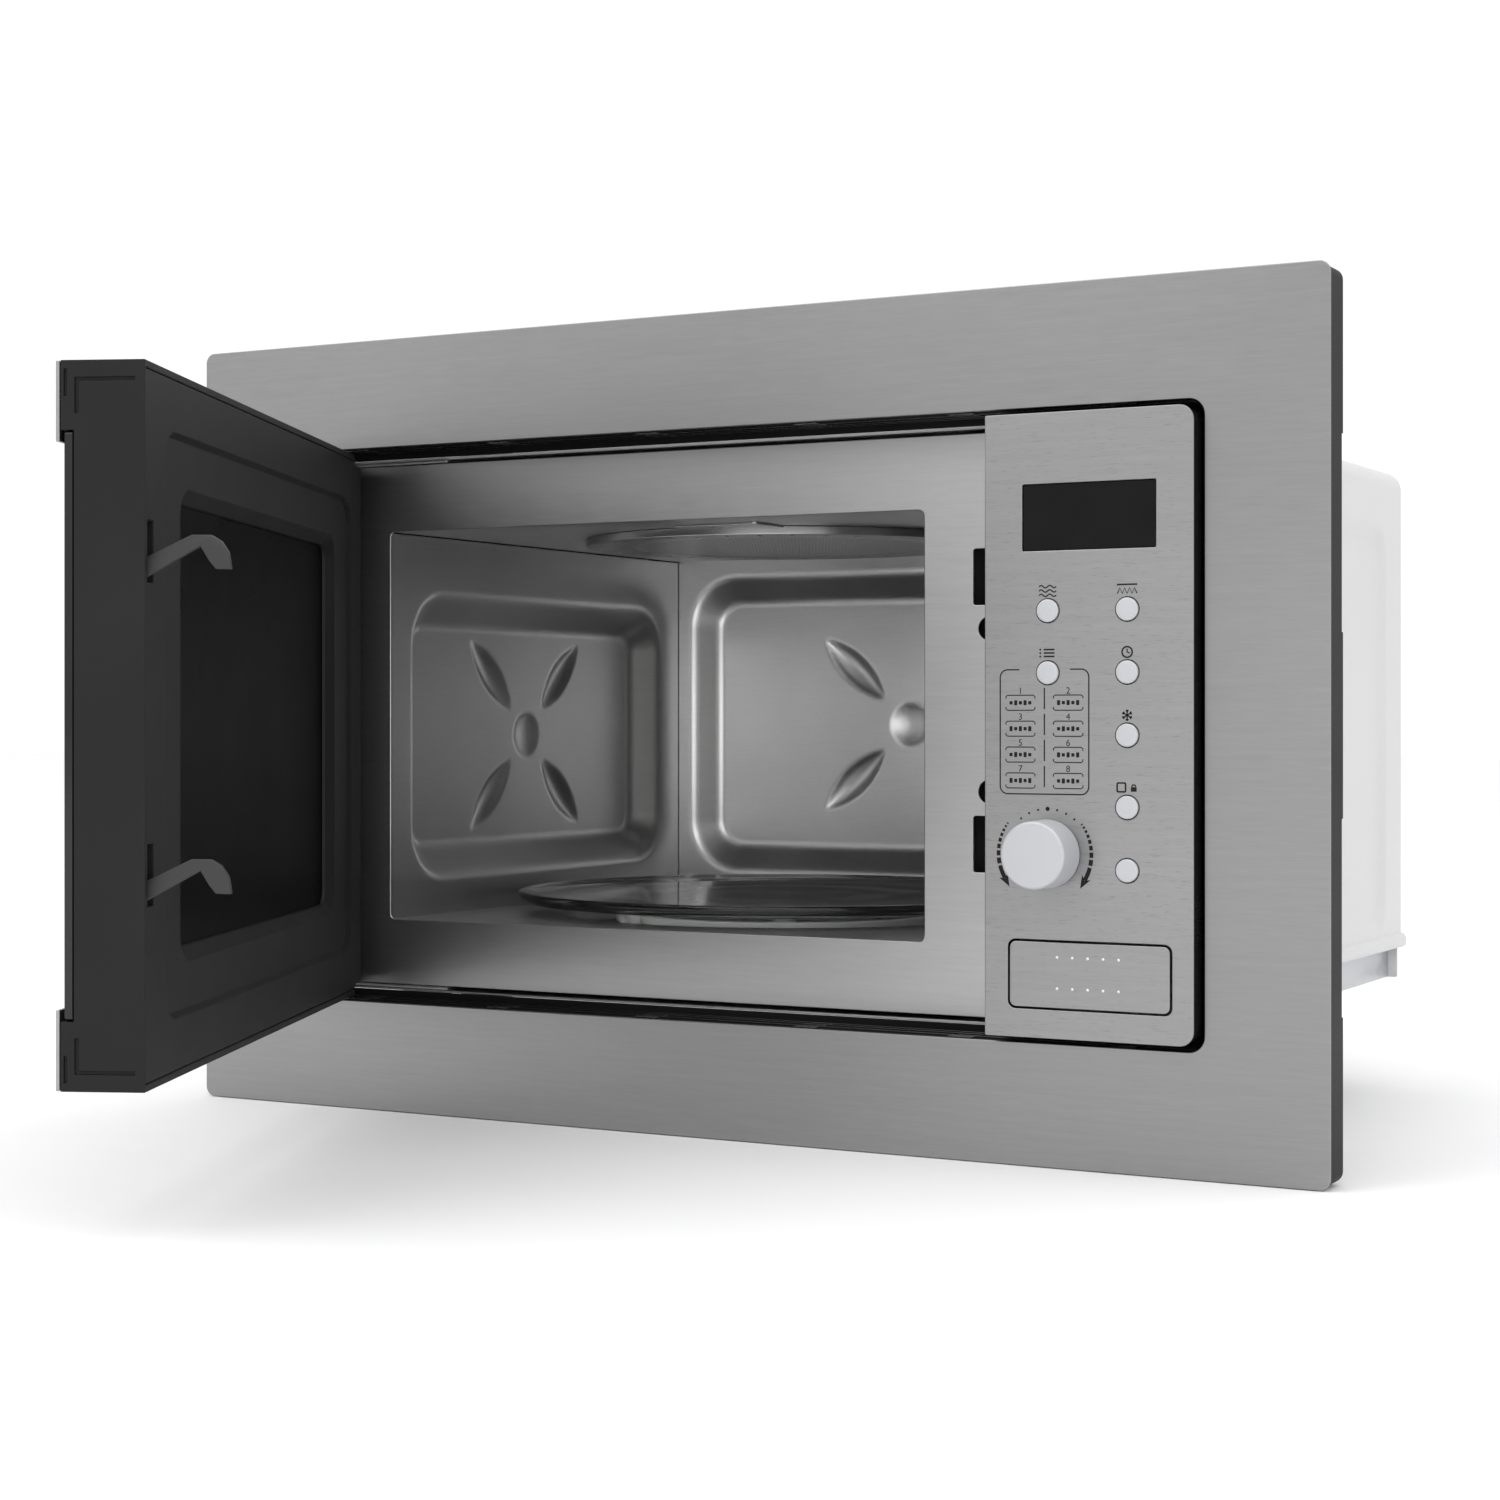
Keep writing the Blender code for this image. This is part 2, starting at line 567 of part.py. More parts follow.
TRAY_INSET = 4.5                # the base's side walls stand this far inside the wrapper
TRAY_X = CAB_X - SIDE_PANEL_IN - TRAY_INSET + SHEET_T
TRAY_REAR = CABINET_REAR - 2.0
TRAY_TOP = WRAP_BOTTOM + 4.0
tray = open_box((-TRAY_X + SHEET_T, TRAY_X - SHEET_T), (CABINET_FRONT, TRAY_REAR - SHEET_T - GAP),
                (-CAB_Z + SHEET_T, TRAY_TOP), (0, 0, 1), (0, -1, 0))
place("base_plate", thickened(tray, SHEET_T), ZINC)

REAR_X = CAB_X - SHEET_T - GAP
REAR_TOP = CAB_Z - SHEET_T - GAP
GLAND_X, GLAND_Z, GLAND_R = 205.0, 95.0, 7.0
FAN_X, FAN_Z = 168.0, 20.0
VENT_SLOTS = 9
VENT_PITCH = 9.0
VENT_HALF_H = 2.2
rear_outline = rounded_rect(REAR_X, (REAR_TOP + CAB_Z) / 2,
                            (WRAP_CORNER - SHEET_T, WRAP_CORNER - SHEET_T, 1.0, 1.0),
                            (0.0, (REAR_TOP - CAB_Z) / 2))
rear_holes = [circle((GLAND_X, GLAND_Z), GLAND_R + GAP)]
for row in range(VENT_SLOTS):
    dz = (row - (VENT_SLOTS - 1) / 2) * VENT_PITCH
    half = math.sqrt(max(FAN_R ** 2 - dz ** 2, 0.0)) * 0.92
    rear_holes.append(span_rect((FAN_X - half, FAN_X + half),
                                (FAN_Z + dz - VENT_HALF_H, FAN_Z + dz + VENT_HALF_H)))
    rear_holes.append(span_rect((-180.0, -110.0), (FAN_Z + dz - VENT_HALF_H, FAN_Z + dz + VENT_HALF_H)))
place("rear_panel", plate("xz", rear_outline, (TRAY_REAR + 0.0, TRAY_REAR + SHEET_T), rear_holes),
      WHITE_PAINT)

FOOT_X, FOOT_FRONT_Y, FOOT_REAR_Y = 205.0, 70.0, 275.0
for name, x, y in (("foot_front_left", -FOOT_X, FOOT_FRONT_Y), ("foot_front_right", FOOT_X, FOOT_FRONT_Y),
                   ("foot_rear_left", -FOOT_X, FOOT_REAR_Y), ("foot_rear_right", FOOT_X, FOOT_REAR_Y)):
    top = -CAB_Z - GAP
    foot = turned([(0, top), (FOOT_R, top), (FOOT_R, top - FOOT_H * 0.4),
                   (FOOT_R - 3, top - FOOT_H), (0, top - FOOT_H)], (x, y, 0), sides=20)
    place(name, foot, RUBBER, smooth=40)

gland = turned([(0, 6.0), (GLAND_R + 3, 6.0), (GLAND_R + 3, 1.2 + GAP), (GLAND_R, 1.2 + GAP),
                (GLAND_R, -2.0), (GLAND_R + 2, -2.4), (GLAND_R - 1, -7.0), (0, -7.0)],
               (GLAND_X, TRAY_REAR, GLAND_Z), "Y")
cord_bore = rod((GLAND_X, TRAY_REAR - 12, GLAND_Z), (GLAND_X, TRAY_REAR + 12, GLAND_Z), 3.6)
place("cord_gland", gland, BLACK_PLASTIC, cut=[cord_bore], smooth=40)

# ------------------------------------------------------------------ hinges
BRACKET_NEAR = PLATE_HALF_H + GAP
BRACKET_T = 1.5
BRACKET_HALF_W = 7.0
PIN_LENGTH = 11.0
for name, up in (("upper_hinge", 1), ("lower_hinge", -1)):
    outline = [(HINGE_X + BRACKET_HALF_W * math.cos(math.pi + math.pi * i / 8),
                HINGE_Y + BRACKET_HALF_W * math.sin(math.pi + math.pi * i / 8)) for i in range(9)]
    outline += [(HINGE_X + BRACKET_HALF_W, CABINET_FRONT - 2), (-165.0, CABINET_FRONT - 2),
                (-165.0, 44.0), (-222.0, 44.0), (-222.0, CABINET_FRONT - GAP),
                (HINGE_X - BRACKET_HALF_W, CABINET_FRONT - GAP)]
    near, far = up * BRACKET_NEAR, up * (BRACKET_NEAR + BRACKET_T)
    arm = plate("xy", outline, (near, far))
    pin = rod((HINGE_X, HINGE_Y, up * (BRACKET_NEAR + BRACKET_T / 2)),
              (HINGE_X, HINGE_Y, up * (BRACKET_NEAR - PIN_LENGTH)), HINGE_PIN_R, sides=16)
    place(name, arm, ZINC, axis=(HINGE_X, HINGE_Y, 0), add=[pin])

# ------------------------------------------------------------------ door, drawn closed
BORDER_Y = DOOR_INNER_Y - 4.2   # rear surface of the door frame's border
RECESS_Y = DOOR_INNER_Y - 2.0
PANE_Y = DOOR_INNER_Y - 5.7
CHAMFER = 3.0


def door_section(half_w, half_h, radius, y):
    """One loop of the door frame about the door's middle."""
    return (half_w, half_h, radius, y)


frame = frame_loft([
    door_section(DOOR_HALF_W, DOOR_HALF_H, 1.0, 0.0),
    door_section(DOOR_HALF_W, DOOR_HALF_H, 1.0, DOOR_INNER_Y),
    door_section(DOOR_HALF_W - 24.9, DOOR_HALF_H - 23.2, 16.0, DOOR_INNER_Y),
    door_section(DOOR_HALF_W - 28.5, DOOR_HALF_H - 26.3, 13.0, RECESS_Y),
    door_section(DOOR_HALF_W - 54.5, DOOR_HALF_H - 43.5, 12.0, RECESS_Y),
    door_section(DOOR_HALF_W - 60.5, DOOR_HALF_H - 49.5, 7.0, PANE_Y),
    door_section(DOOR_HALF_W - 60.5, DOOR_HALF_H - 49.5, 7.0, PANE_Y - 1.5),
    door_section(DOOR_HALF_W - 55.5, DOOR_HALF_H - 44.5, 9.0, PANE_Y - 1.5),
    door_section(DOOR_HALF_W - 52.5, DOOR_HALF_H - 41.5, 10.0, BORDER_Y),
    door_section(DOOR_HALF_W - DOOR_WALL, DOOR_HALF_H - DOOR_WALL, 0.8, BORDER_Y),
    door_section(DOOR_HALF_W - DOOR_WALL, DOOR_HALF_H - DOOR_WALL, 0.8, 0.0),
], (DOOR_MID_X, 0.0))
RAIL_Z = DOOR_HALF_H - STRIP_H + 4.4
STRIP_CORNER = 9.0              # round corner that clears the trim as the door swings


def strip_outline(x, z, up):
    """A rail along the door's edge, in X and Z, with its outer corner at the hinge rounded."""
    points = [(x[1], up * z[0]), (x[1], up * z[1])]
    for step in range(5):
        angle = math.pi / 2 * (1 + step / 4)
        points.append((x[0] + STRIP_CORNER + STRIP_CORNER * math.cos(angle),
                       up * (z[1] - STRIP_CORNER + STRIP_CORNER * math.sin(angle))))
    return points + [(x[0], up * z[0])]


rail_bars, bearings, corner_cuts, pin_bores = [], [], [], []
for up in (-1, 1):
    rail_bars.append(plate("xz", strip_outline((DOOR_LEFT + 2.0, DOOR_RIGHT), (RAIL_Z, DOOR_HALF_H), up),
                           (STRIP_FRONT_Y + STRIP_T + GAP, 1.2)))
    bearings.append(block((DOOR_LEFT + 1.0, HINGE_X + 10), (0.4, HINGE_Y + 10),
                          (up * 118.0, up * (BRACKET_NEAR - 1.5))))
    corner_cuts.append(block((DOOR_LEFT - 1, HINGE_X + BRACKET_HALF_W + 0.6),
                             (HINGE_Y - BRACKET_HALF_W - 0.6, DOOR_INNER_Y + 1),
                             (up * (BRACKET_NEAR - 1.4), up * (DOOR_HALF_H + 1))))
    pin_bores.append(rod((HINGE_X, HINGE_Y, up * 120.5), (HINGE_X, HINGE_Y, up * (BRACKET_NEAR + 1)),
                         HINGE_PIN_R + 0.2, sides=16))
SLOT_X = (LATCH_X - 4.6, LATCH_X + 3.5)
SLOT_TOP, SLOT_BOTTOM = 77.5, 53.9
hook_slots = [block(SLOT_X, (BORDER_Y - 2, DOOR_INNER_Y + 1), (SLOT_BOTTOM - drop, SLOT_TOP - drop))
              for drop in (0.0, HOOK_PITCH)]
spring_post = block((LATCH_X - 3.5, DOOR_RIGHT - 1), (13.0, 19.0), (-128.5, -125.5))
edge_chamfer = plate("xy", [(DOOR_LEFT - 1, DOOR_INNER_Y - CHAMFER - 1),
                            (DOOR_LEFT + CHAMFER + 1, DOOR_INNER_Y + 1),
                            (DOOR_LEFT - 1, DOOR_INNER_Y + 1)], (-DOOR_HALF_H - 1, DOOR_HALF_H + 1))
door_cuts = [join(*corner_cuts), join(*pin_bores), join(*hook_slots), edge_chamfer]
place("door_frame", frame, BLACK_PLASTIC, axis=(HINGE_X, HINGE_Y, 0), parent=DOOR,
      add=[join(*rail_bars), join(*bearings), spring_post], cut=door_cuts)

SCREEN_HALF_W, SCREEN_HALF_H = 142.0, 102.0
screen = open_box((DOOR_MID_X - SCREEN_HALF_W, DOOR_MID_X + SCREEN_HALF_W), (5.0, PANE_Y - 1.8 - 1.0),
                  (-SCREEN_HALF_H, SCREEN_HALF_H), (0, -1, 0))
place("door_screen", thickened(screen, 1.0), ZINC, axis=(HINGE_X, HINGE_Y, 0), parent=DOOR)

door_glass = plate("xz", span_rect((DOOR_LEFT + 0.6, DOOR_RIGHT - 0.4),
                                   (-(RAIL_Z - GAP), RAIL_Z - GAP), 1.5, 2),
                   (GLASS_FRONT_Y, GLASS_FRONT_Y + GLASS_T))
place("door_glass", door_glass, BLACK_GLASS, axis=(HINGE_X, HINGE_Y, 0), parent=DOOR)

STRIP_LEFT = HINGE_X - 6.6
STRIP_END = 2.9                 # length of the slant that thins the strip's hinge end
for name, up in (("door_top_facing", 1), ("door_bottom_facing", -1)):
    strip = plate("xz", strip_outline((STRIP_LEFT, DOOR_RIGHT), (DOOR_HALF_H - STRIP_H, DOOR_HALF_H - 0.2), up),
                  (STRIP_FRONT_Y, STRIP_FRONT_Y + STRIP_T))
    slant = plate("xy", [(STRIP_LEFT - STRIP_END, STRIP_FRONT_Y + 2 * STRIP_T),
                         (STRIP_LEFT + 2 * STRIP_END, STRIP_FRONT_Y - STRIP_T),
                         (STRIP_LEFT - STRIP_END, STRIP_FRONT_Y - STRIP_T)], (-TRIM_Z, TRIM_Z))
    place(name, strip, BRUSHED, axis=(HINGE_X, HINGE_Y, 0), parent=DOOR, cut=[slant])

# the latch is one flat lever with two hooks, which a spring pulls down
BAR_Y = (12.0, 20.0)
BAR_TOP, BAR_BOTTOM = 95.0, -95.0


def hook_points(drop):
    """The outline of one hook from the bar to its tip and back, in Y and Z."""
    return [(BAR_Y[1], 60.6 - drop), (43.8, 71.9 - drop), (51.2, 71.8 - drop), (55.1, 69.5 - drop),
            (57.9, 65.4 - drop), (59.0, 58.8 - drop), (53.0, 58.9 - drop), (50.3, 62.2 - drop),
            (47.1, 67.5 - drop), (BAR_Y[1], 52.7 - drop)]


lever_outline = [(BAR_Y[0], BAR_TOP), (BAR_Y[1], BAR_TOP), *hook_points(0.0), *hook_points(HOOK_PITCH),
                 (BAR_Y[1], BAR_BOTTOM), (BAR_Y[0], BAR_BOTTOM)]
hooks = plate("yz", lever_outline, (LATCH_X - HOOK_T / 2, LATCH_X + HOOK_T / 2))
place("latch_hook", hooks, BLACK_PLASTIC, axis=(LATCH_X, (BAR_Y[0] + BAR_Y[1]) / 2, 0), parent=DOOR)

COIL_TURNS, COIL_R, COIL_WIRE_R = 6, 2.6, 0.5
coil_low, coil_high = -125.5 + GAP + COIL_WIRE_R, BAR_BOTTOM - GAP - COIL_WIRE_R
coil = []
for i in range(COIL_TURNS * 10 + 1):
    share = i / (COIL_TURNS * 10)
    angle = 2 * math.pi * COIL_TURNS * share
    coil.append((LATCH_X + COIL_R * math.cos(angle), 16.0 + COIL_R * math.sin(angle),
                 coil_low + (coil_high - coil_low) * share))
place("latch_spring", wire(coil, COIL_WIRE_R, 1), ZINC, axis=(LATCH_X, 16.0, coil_low), parent=DOOR,
      smooth=60)

# ------------------------------------------------------------------ control panel
BUTTON_COLUMNS = (174.6, 211.0)
BUTTONS = (("button_power", BUTTON_COLUMNS[0], panel_z(0.366)),
           ("button_grill", BUTTON_COLUMNS[1], panel_z(0.366)),
           ("button_menu", BUTTON_COLUMNS[0], panel_z(0.168)),
           ("button_clock", BUTTON_COLUMNS[1], panel_z(0.168)),
           ("button_defrost", BUTTON_COLUMNS[1], panel_z(-0.031)),
           ("button_stop", BUTTON_COLUMNS[1], panel_z(-0.258)),
           ("button_start", BUTTON_COLUMNS[1], panel_z(-0.457)))
WINDOW_X, WINDOW_Z = (162.7, 223.8), (panel_z(0.558), panel_z(0.772))
RELEASE_X, RELEASE_Z = (156.0, 231.0), (panel_z(-0.908), panel_z(-0.685))
KNOB_X, KNOB_Z, KNOB_HOLE_R = BUTTON_COLUMNS[0], panel_z(-0.41), 5.2
HOLE_CLEARANCE = 0.4


def panel_holes(spare):
    """The control panel's openings, opened by this much all round."""
    holes = [circle((x, z), BUTTON_R + HOLE_CLEARANCE + spare, 20) for _, x, z in BUTTONS]
    holes.append(circle((KNOB_X, KNOB_Z), KNOB_HOLE_R + spare, 20))
    holes.append(span_rect((WINDOW_X[0] - spare, WINDOW_X[1] + spare),
                           (WINDOW_Z[0] - spare, WINDOW_Z[1] + spare)))
    holes.append(span_rect((RELEASE_X[0] - spare, RELEASE_X[1] + spare),
                           (RELEASE_Z[0] - spare, RELEASE_Z[1] + spare), 3.5))
    return holes


panel_mid = (PANEL_LEFT + PANEL_RIGHT) / 2
panel_half = (PANEL_RIGHT - PANEL_LEFT) / 2
facing_outline = rounded_rect(panel_half, PANEL_HALF_H, (5.0, 0.8, 0.8, 5.0), (panel_mid, 0.0))
place("panel_facing", plate("xz", facing_outline, (PANEL_FRONT_Y, PANEL_FRONT_Y + PANEL_SHEET_T),
                            panel_holes(0.0)), BRUSHED)

CASE_FRONT = PANEL_FRONT_Y + PANEL_SHEET_T + GAP
CASE_REAR = LIP_Y - 0.7
CASE_INSET = 0.6
case_half = panel_half - CASE_INSET
case_outline = rounded_rect(case_half, PANEL_HALF_H - CASE_INSET, (4.4, 0.6, 0.6, 4.4), (panel_mid, 0.0))
case_front = plate("xz", case_outline, (CASE_FRONT, CASE_FRONT + PANEL_WALL), panel_holes(GAP))
case_ring = plate("xz", case_outline, (CASE_FRONT + PANEL_WALL / 2, CASE_REAR),
                  [rounded_rect(case_half - PANEL_WALL, PANEL_HALF_H - CASE_INSET - PANEL_WALL,
                                (2.4, 0.5, 0.5, 2.4), (panel_mid, 0.0))])
place("panel_carrier", case_front, BLACK_PLASTIC, add=[case_ring])

window = block((WINDOW_X[0] + 0.2, WINDOW_X[1] - 0.2), (PANEL_FRONT_Y + 0.7, CASE_FRONT + PANEL_WALL),
               (WINDOW_Z[0] + 0.2, WINDOW_Z[1] - 0.2))
place("display_window", window, SMOKED)

BOARD_Y, BOARD_T = 12.0, 1.6
BOARD_X, BOARD_Z = (150.0, 236.0), (panel_z(-0.62), panel_z(0.88))
display_block = block((WINDOW_X[0] + 2, WINDOW_X[1] - 2), (CASE_FRONT + PANEL_WALL + GAP, BOARD_Y + 0.5),
                      (WINDOW_Z[0] + 1, WINDOW_Z[1] - 1))
relays = [block((156, 172), (BOARD_Y + 1, 26.5), (-60, -32)), block((178, 194), (BOARD_Y + 1, 26.5), (-72, -50)),
          block((200, 214), (BOARD_Y + 1, 24), (20, 60)), block((160, 188), (BOARD_Y + 1, 27), (10, 46))]
place("control_board", block(BOARD_X, (BOARD_Y, BOARD_Y + BOARD_T), BOARD_Z), CIRCUIT,
      add=[display_block, join(*relays)])

SPINDLE_R = 3.0
encoder = block((KNOB_X - 6.5, KNOB_X + 6.5), (3.4, BOARD_Y - GAP), (KNOB_Z - 6.5, KNOB_Z + 6.5))
encoder_bore = rod((KNOB_X, 0.0, KNOB_Z), (KNOB_X, 10.0, KNOB_Z), SPINDLE_R + 0.3)
place("rotary_encoder", encoder, ZINC, cut=[encoder_bore])

knob_profile = [(0, KNOB_FRONT_Y), (KNOB_R - 1.6, KNOB_FRONT_Y), (KNOB_R - 0.7, KNOB_FRONT_Y + 0.9),
                (KNOB_R, PANEL_FRONT_Y - 0.4), (KNOB_R - 2, PANEL_FRONT_Y - 0.4),
                (KNOB_R - 2.2, KNOB_FRONT_Y + 2.4), (4.6, KNOB_FRONT_Y + 2.4), (4.6, -2.0),
                (SPINDLE_R, -2.0), (SPINDLE_R, 9.0), (0, 9.0)]
place("selector_knob", turned(knob_profile, (KNOB_X, 0, KNOB_Z), "Y", 28), SILVER_PLASTIC,
      axis=(KNOB_X, KNOB_FRONT_Y, KNOB_Z), smooth=40)

CAP_FRONT = PANEL_FRONT_Y - 0.9
FLANGE_FRONT = CASE_FRONT + PANEL_WALL + GAP
button_profile = [(0, CAP_FRONT), (BUTTON_R - 0.7, CAP_FRONT), (BUTTON_R, CAP_FRONT + 0.6),
                  (BUTTON_R, FLANGE_FRONT), (BUTTON_R + 1.3, FLANGE_FRONT),
                  (BUTTON_R + 1.3, FLANGE_FRONT + 1.4), (1.6, FLANGE_FRONT + 1.4),
                  (1.6, BOARD_Y - BUTTON_TRAVEL - GAP), (0, BOARD_Y - BUTTON_TRAVEL - GAP)]
for name, x, z in BUTTONS:
    place(name, turned(button_profile, (x, 0, z), "Y", 16), SILVER_PLASTIC, axis=(x, CAP_FRONT, z),
          smooth=40)

RELEASE_SPARE = 0.9
LEVER_Y, LEVER_Z = 36.0, -70.0
LEVER_FACE_Y = LEVER_Y - 3.0
release_cap = plate("xz", span_rect((RELEASE_X[0] + RELEASE_SPARE, RELEASE_X[1] - RELEASE_SPARE),
                                    (RELEASE_Z[0] + RELEASE_SPARE, RELEASE_Z[1] - RELEASE_SPARE), 2.8),
                    (PANEL_FRONT_Y - 0.2, -1.0))
release_rod = rod((ROD_X, -2.0, ROD_Z), (ROD_X, LEVER_FACE_Y - 0.6, ROD_Z), ROD_R, sides=16)
place("door_release_button", release_cap, BRUSHED, axis=((RELEASE_X[0] + RELEASE_X[1]) / 2, 0, ROD_Z),
      add=[release_rod])

# ------------------------------------------------------------------ door latch inside the oven
CATCH_X = (120.0, 148.0)
CATCH_WALL = 3.0
CATCH_Y = (CABINET_FRONT + 0.2, 66.0)
CATCH_Z = (-86.0, 94.0)
catch = block(CATCH_X, CATCH_Y, CATCH_Z)
catch_space = block((CATCH_X[0] + CATCH_WALL, CATCH_X[1] - CATCH_WALL), (CATCH_Y[0] - 5, CATCH_Y[1] - CATCH_WALL),
                    (CATCH_Z[0] + CATCH_WALL, CATCH_Z[1] - CATCH_WALL))
LEVER_SHAFT_R = 2.6
lever_bore = rod((CATCH_X[0] - 5, LEVER_Y, LEVER_Z), (CATCH_X[1] + 5, LEVER_Y, LEVER_Z), LEVER_SHAFT_R + 0.4)
place("latch_board", catch, WHITE_PLASTIC, cut=[catch_space, lever_bore])

lever_shaft = rod((CATCH_X[0] - 1, LEVER_Y, LEVER_Z), (ROD_X + 4, LEVER_Y, LEVER_Z), LEVER_SHAFT_R, sides=16)
push_arm = block((ROD_X - 4, ROD_X + 4.6), (LEVER_FACE_Y, LEVER_Y + 2.4), (ROD_Z - 5, LEVER_Z + 2.6))
lift_arm = block((LATCH_X - 3.5, LATCH_X + 4.5), (LEVER_Y - 2.2, 58.5), (LEVER_Z - 2.2, LEVER_Z + 3.6))
place("release_lever", lever_shaft, WHITE_PLASTIC, axis=(LATCH_X, LEVER_Y, LEVER_Z),
      add=[push_arm, lift_arm])

SWITCH_X = (CATCH_X[1] + GAP, CATCH_X[1] + GAP + 10.3)
for name, low in (("door_switch_upper", 40.0), ("door_switch_lower", -56.0)):
    switch = block(SWITCH_X, (36.0, 52.0), (low, low + 28.0), 0.5)
    terminals = join(*[block((SWITCH_X[0] + 4, SWITCH_X[0] + 6), (51.0, 58.0), (low + dz, low + dz + 4.0))
                       for dz in (3.0, 12.0, 21.0)])
    place(name, switch, BLACK_PLASTIC, add=[terminals])

# ------------------------------------------------------------------ microwave source
GUIDE_X = (CAVITY_RIGHT + CAVITY_T + GAP, 141.4)
GUIDE_Y, GUIDE_Z = (125.0, 245.0), (-15.0, 45.0)
ANTENNA_Y, ANTENNA_Z, ANTENNA_R = 215.0, 15.0, 8.0
guide = block(GUIDE_X, GUIDE_Y, GUIDE_Z)
guide_space = block((GUIDE_X[0] - 5, GUIDE_X[1] - SHEET_T), (GUIDE_Y[0] + SHEET_T, GUIDE_Y[1] - SHEET_T),
                    (GUIDE_Z[0] + SHEET_T, GUIDE_Z[1] - SHEET_T))
antenna_hole = rod((GUIDE_X[1] - 5, ANTENNA_Y, ANTENNA_Z), (GUIDE_X[1] + 5, ANTENNA_Y, ANTENNA_Z),
                   ANTENNA_R + 2.0)
place("waveguide", guide, ZINC, cut=[guide_space, antenna_hole])
place("waveguide_cover", block((CAVITY_RIGHT - GAP - 1.0, CAVITY_RIGHT - GAP), (MOUTH_Y[0] - 12, MOUTH_Y[1] + 12),
                               (MOUTH_Z[0] - 12, MOUTH_Z[1] + 12)), MICA)

tube_x = GUIDE_X[1] + GAP
tube_plate = block((tube_x, tube_x + 1.5), (165, 262), (-26, 58))
antenna = rod((GUIDE_X[0] + 12, ANTENNA_Y, ANTENNA_Z), (tube_x + 1, ANTENNA_Y, ANTENNA_Z), ANTENNA_R)
yoke = block((tube_x + 1, tube_x + 58), (178, 252), (-20, 52), 2.0)
filter_box = block((tube_x + 57, tube_x + 76), (192, 238), (-8, 40), 1.5)
fin_slots = join(*[block((tube_x + 9 + step * 8, tube_x + 13 + step * 8), (172, 200), (-14, 46))
                   for step in range(6)])
place("magnetron", tube_plate, ALUMINIUM, add=[antenna, yoke, filter_box], cut=[fin_slots])

CORE_X, CORE_Y, CORE_Z = (125.0, 205.0), (150.0, 200.0), (-134.0, -74.0)
WINDOW_Z_SPAN = (-118.0, -88.0)
core_windows = join(block((CORE_X[0] + 13, CORE_X[0] + 27), (CORE_Y[0] - 5, CORE_Y[1] + 5), WINDOW_Z_SPAN),
                    block((CORE_X[1] - 27, CORE_X[1] - 13), (CORE_Y[0] - 5, CORE_Y[1] + 5), WINDOW_Z_SPAN))
place("transformer_core", block(CORE_X, CORE_Y, CORE_Z), HEATER, cut=[core_windows])
winding = block((CORE_X[0] + 13 + GAP, CORE_X[1] - 13 - GAP), (CORE_Y[0] - 18, CORE_Y[1] + 18),
                (WINDOW_Z_SPAN[0] + GAP, WINDOW_Z_SPAN[1] - GAP), 2.0)
winding_hole = block((CORE_X[0] + 27 - GAP, CORE_X[1] - 27 + GAP), (CORE_Y[0] - GAP, CORE_Y[1] + GAP),
                     (WINDOW_Z_SPAN[0] - 5, WINDOW_Z_SPAN[1] + 5))
place("transformer_windings", winding, COPPER, cut=[winding_hole])

can = plate("xz", rounded_rect(27, 17, 16, (160.0, -117.0), 5), (238.0, 318.0))
studs = join(rod((152, 236.0 - 8, -117), (152, 240, -117), 3.0, sides=12),
             rod((168, 236.0 - 8, -117), (168, 240, -117), 3.0, sides=12))
place("hv_capacitor", can, ALUMINIUM, add=[studs])

# ------------------------------------------------------------------ cooling fan
FAN_Y = (324.0, 338.0)
FAN_SHAFT_R = 2.2
SHROUD_Y = (318.0, TRAY_REAR - GAP)
SHROUD_HALF = 50.0
duct = block((FAN_X - SHROUD_HALF, FAN_X + SHROUD_HALF), SHROUD_Y, (FAN_Z - SHROUD_HALF, FAN_Z + SHROUD_HALF), 3.0)
duct_bore = rod((FAN_X, SHROUD_Y[0] - 5, FAN_Z), (FAN_X, SHROUD_Y[1] + 5, FAN_Z), FAN_R + 3.0, sides=32)
place("fan_shroud", duct, WHITE_PLASTIC, cut=[duct_bore])

MOTOR_Y = (284.0, 312.0)
motor = block((FAN_X - 18, FAN_X + 18), MOTOR_Y, (FAN_Z - 18, FAN_Z + 18), 2.0)
bracket = block((FAN_X - SHROUD_HALF + 3, FAN_X + SHROUD_HALF - 3), (MOTOR_Y[1] - 1, SHROUD_Y[0] - GAP),
                (FAN_Z - 6, FAN_Z + 6))
motor_bore = rod((FAN_X, MOTOR_Y[0] + 6, FAN_Z), (FAN_X, SHROUD_Y[0] + 5, FAN_Z), FAN_SHAFT_R + 0.4)
place("fan_motor", motor, ZINC, add=[bracket], cut=[motor_bore])

BLADE_COUNT = 5
hub = turned([(0, FAN_Y[0]), (11, FAN_Y[0]), (12, FAN_Y[0] + 1), (12, FAN_Y[1]), (0, FAN_Y[1])],
             (FAN_X, 0, FAN_Z), "Y", 24)
shaft = rod((FAN_X, MOTOR_Y[0] + 8, FAN_Z), (FAN_X, FAN_Y[0] + 1, FAN_Z), FAN_SHAFT_R, sides=12)
vanes = []
for i in range(BLADE_COUNT):
    vane = block((10.0, FAN_R), (-0.8, 0.8), (-9.0, 9.0))
    vane = moved(vane, turn=Matrix.Rotation(math.radians(58), 3, "X"))
    vane = moved(vane, turn=Matrix.Rotation(2 * math.pi * i / BLADE_COUNT, 3, "Y"))
    vanes.append(moved(vane, (FAN_X, (FAN_Y[0] + FAN_Y[1]) / 2, FAN_Z)))
place("fan_blade", hub, BLACK_PLASTIC, axis=(FAN_X, FAN_Y[0], FAN_Z), add=[shaft, *vanes])

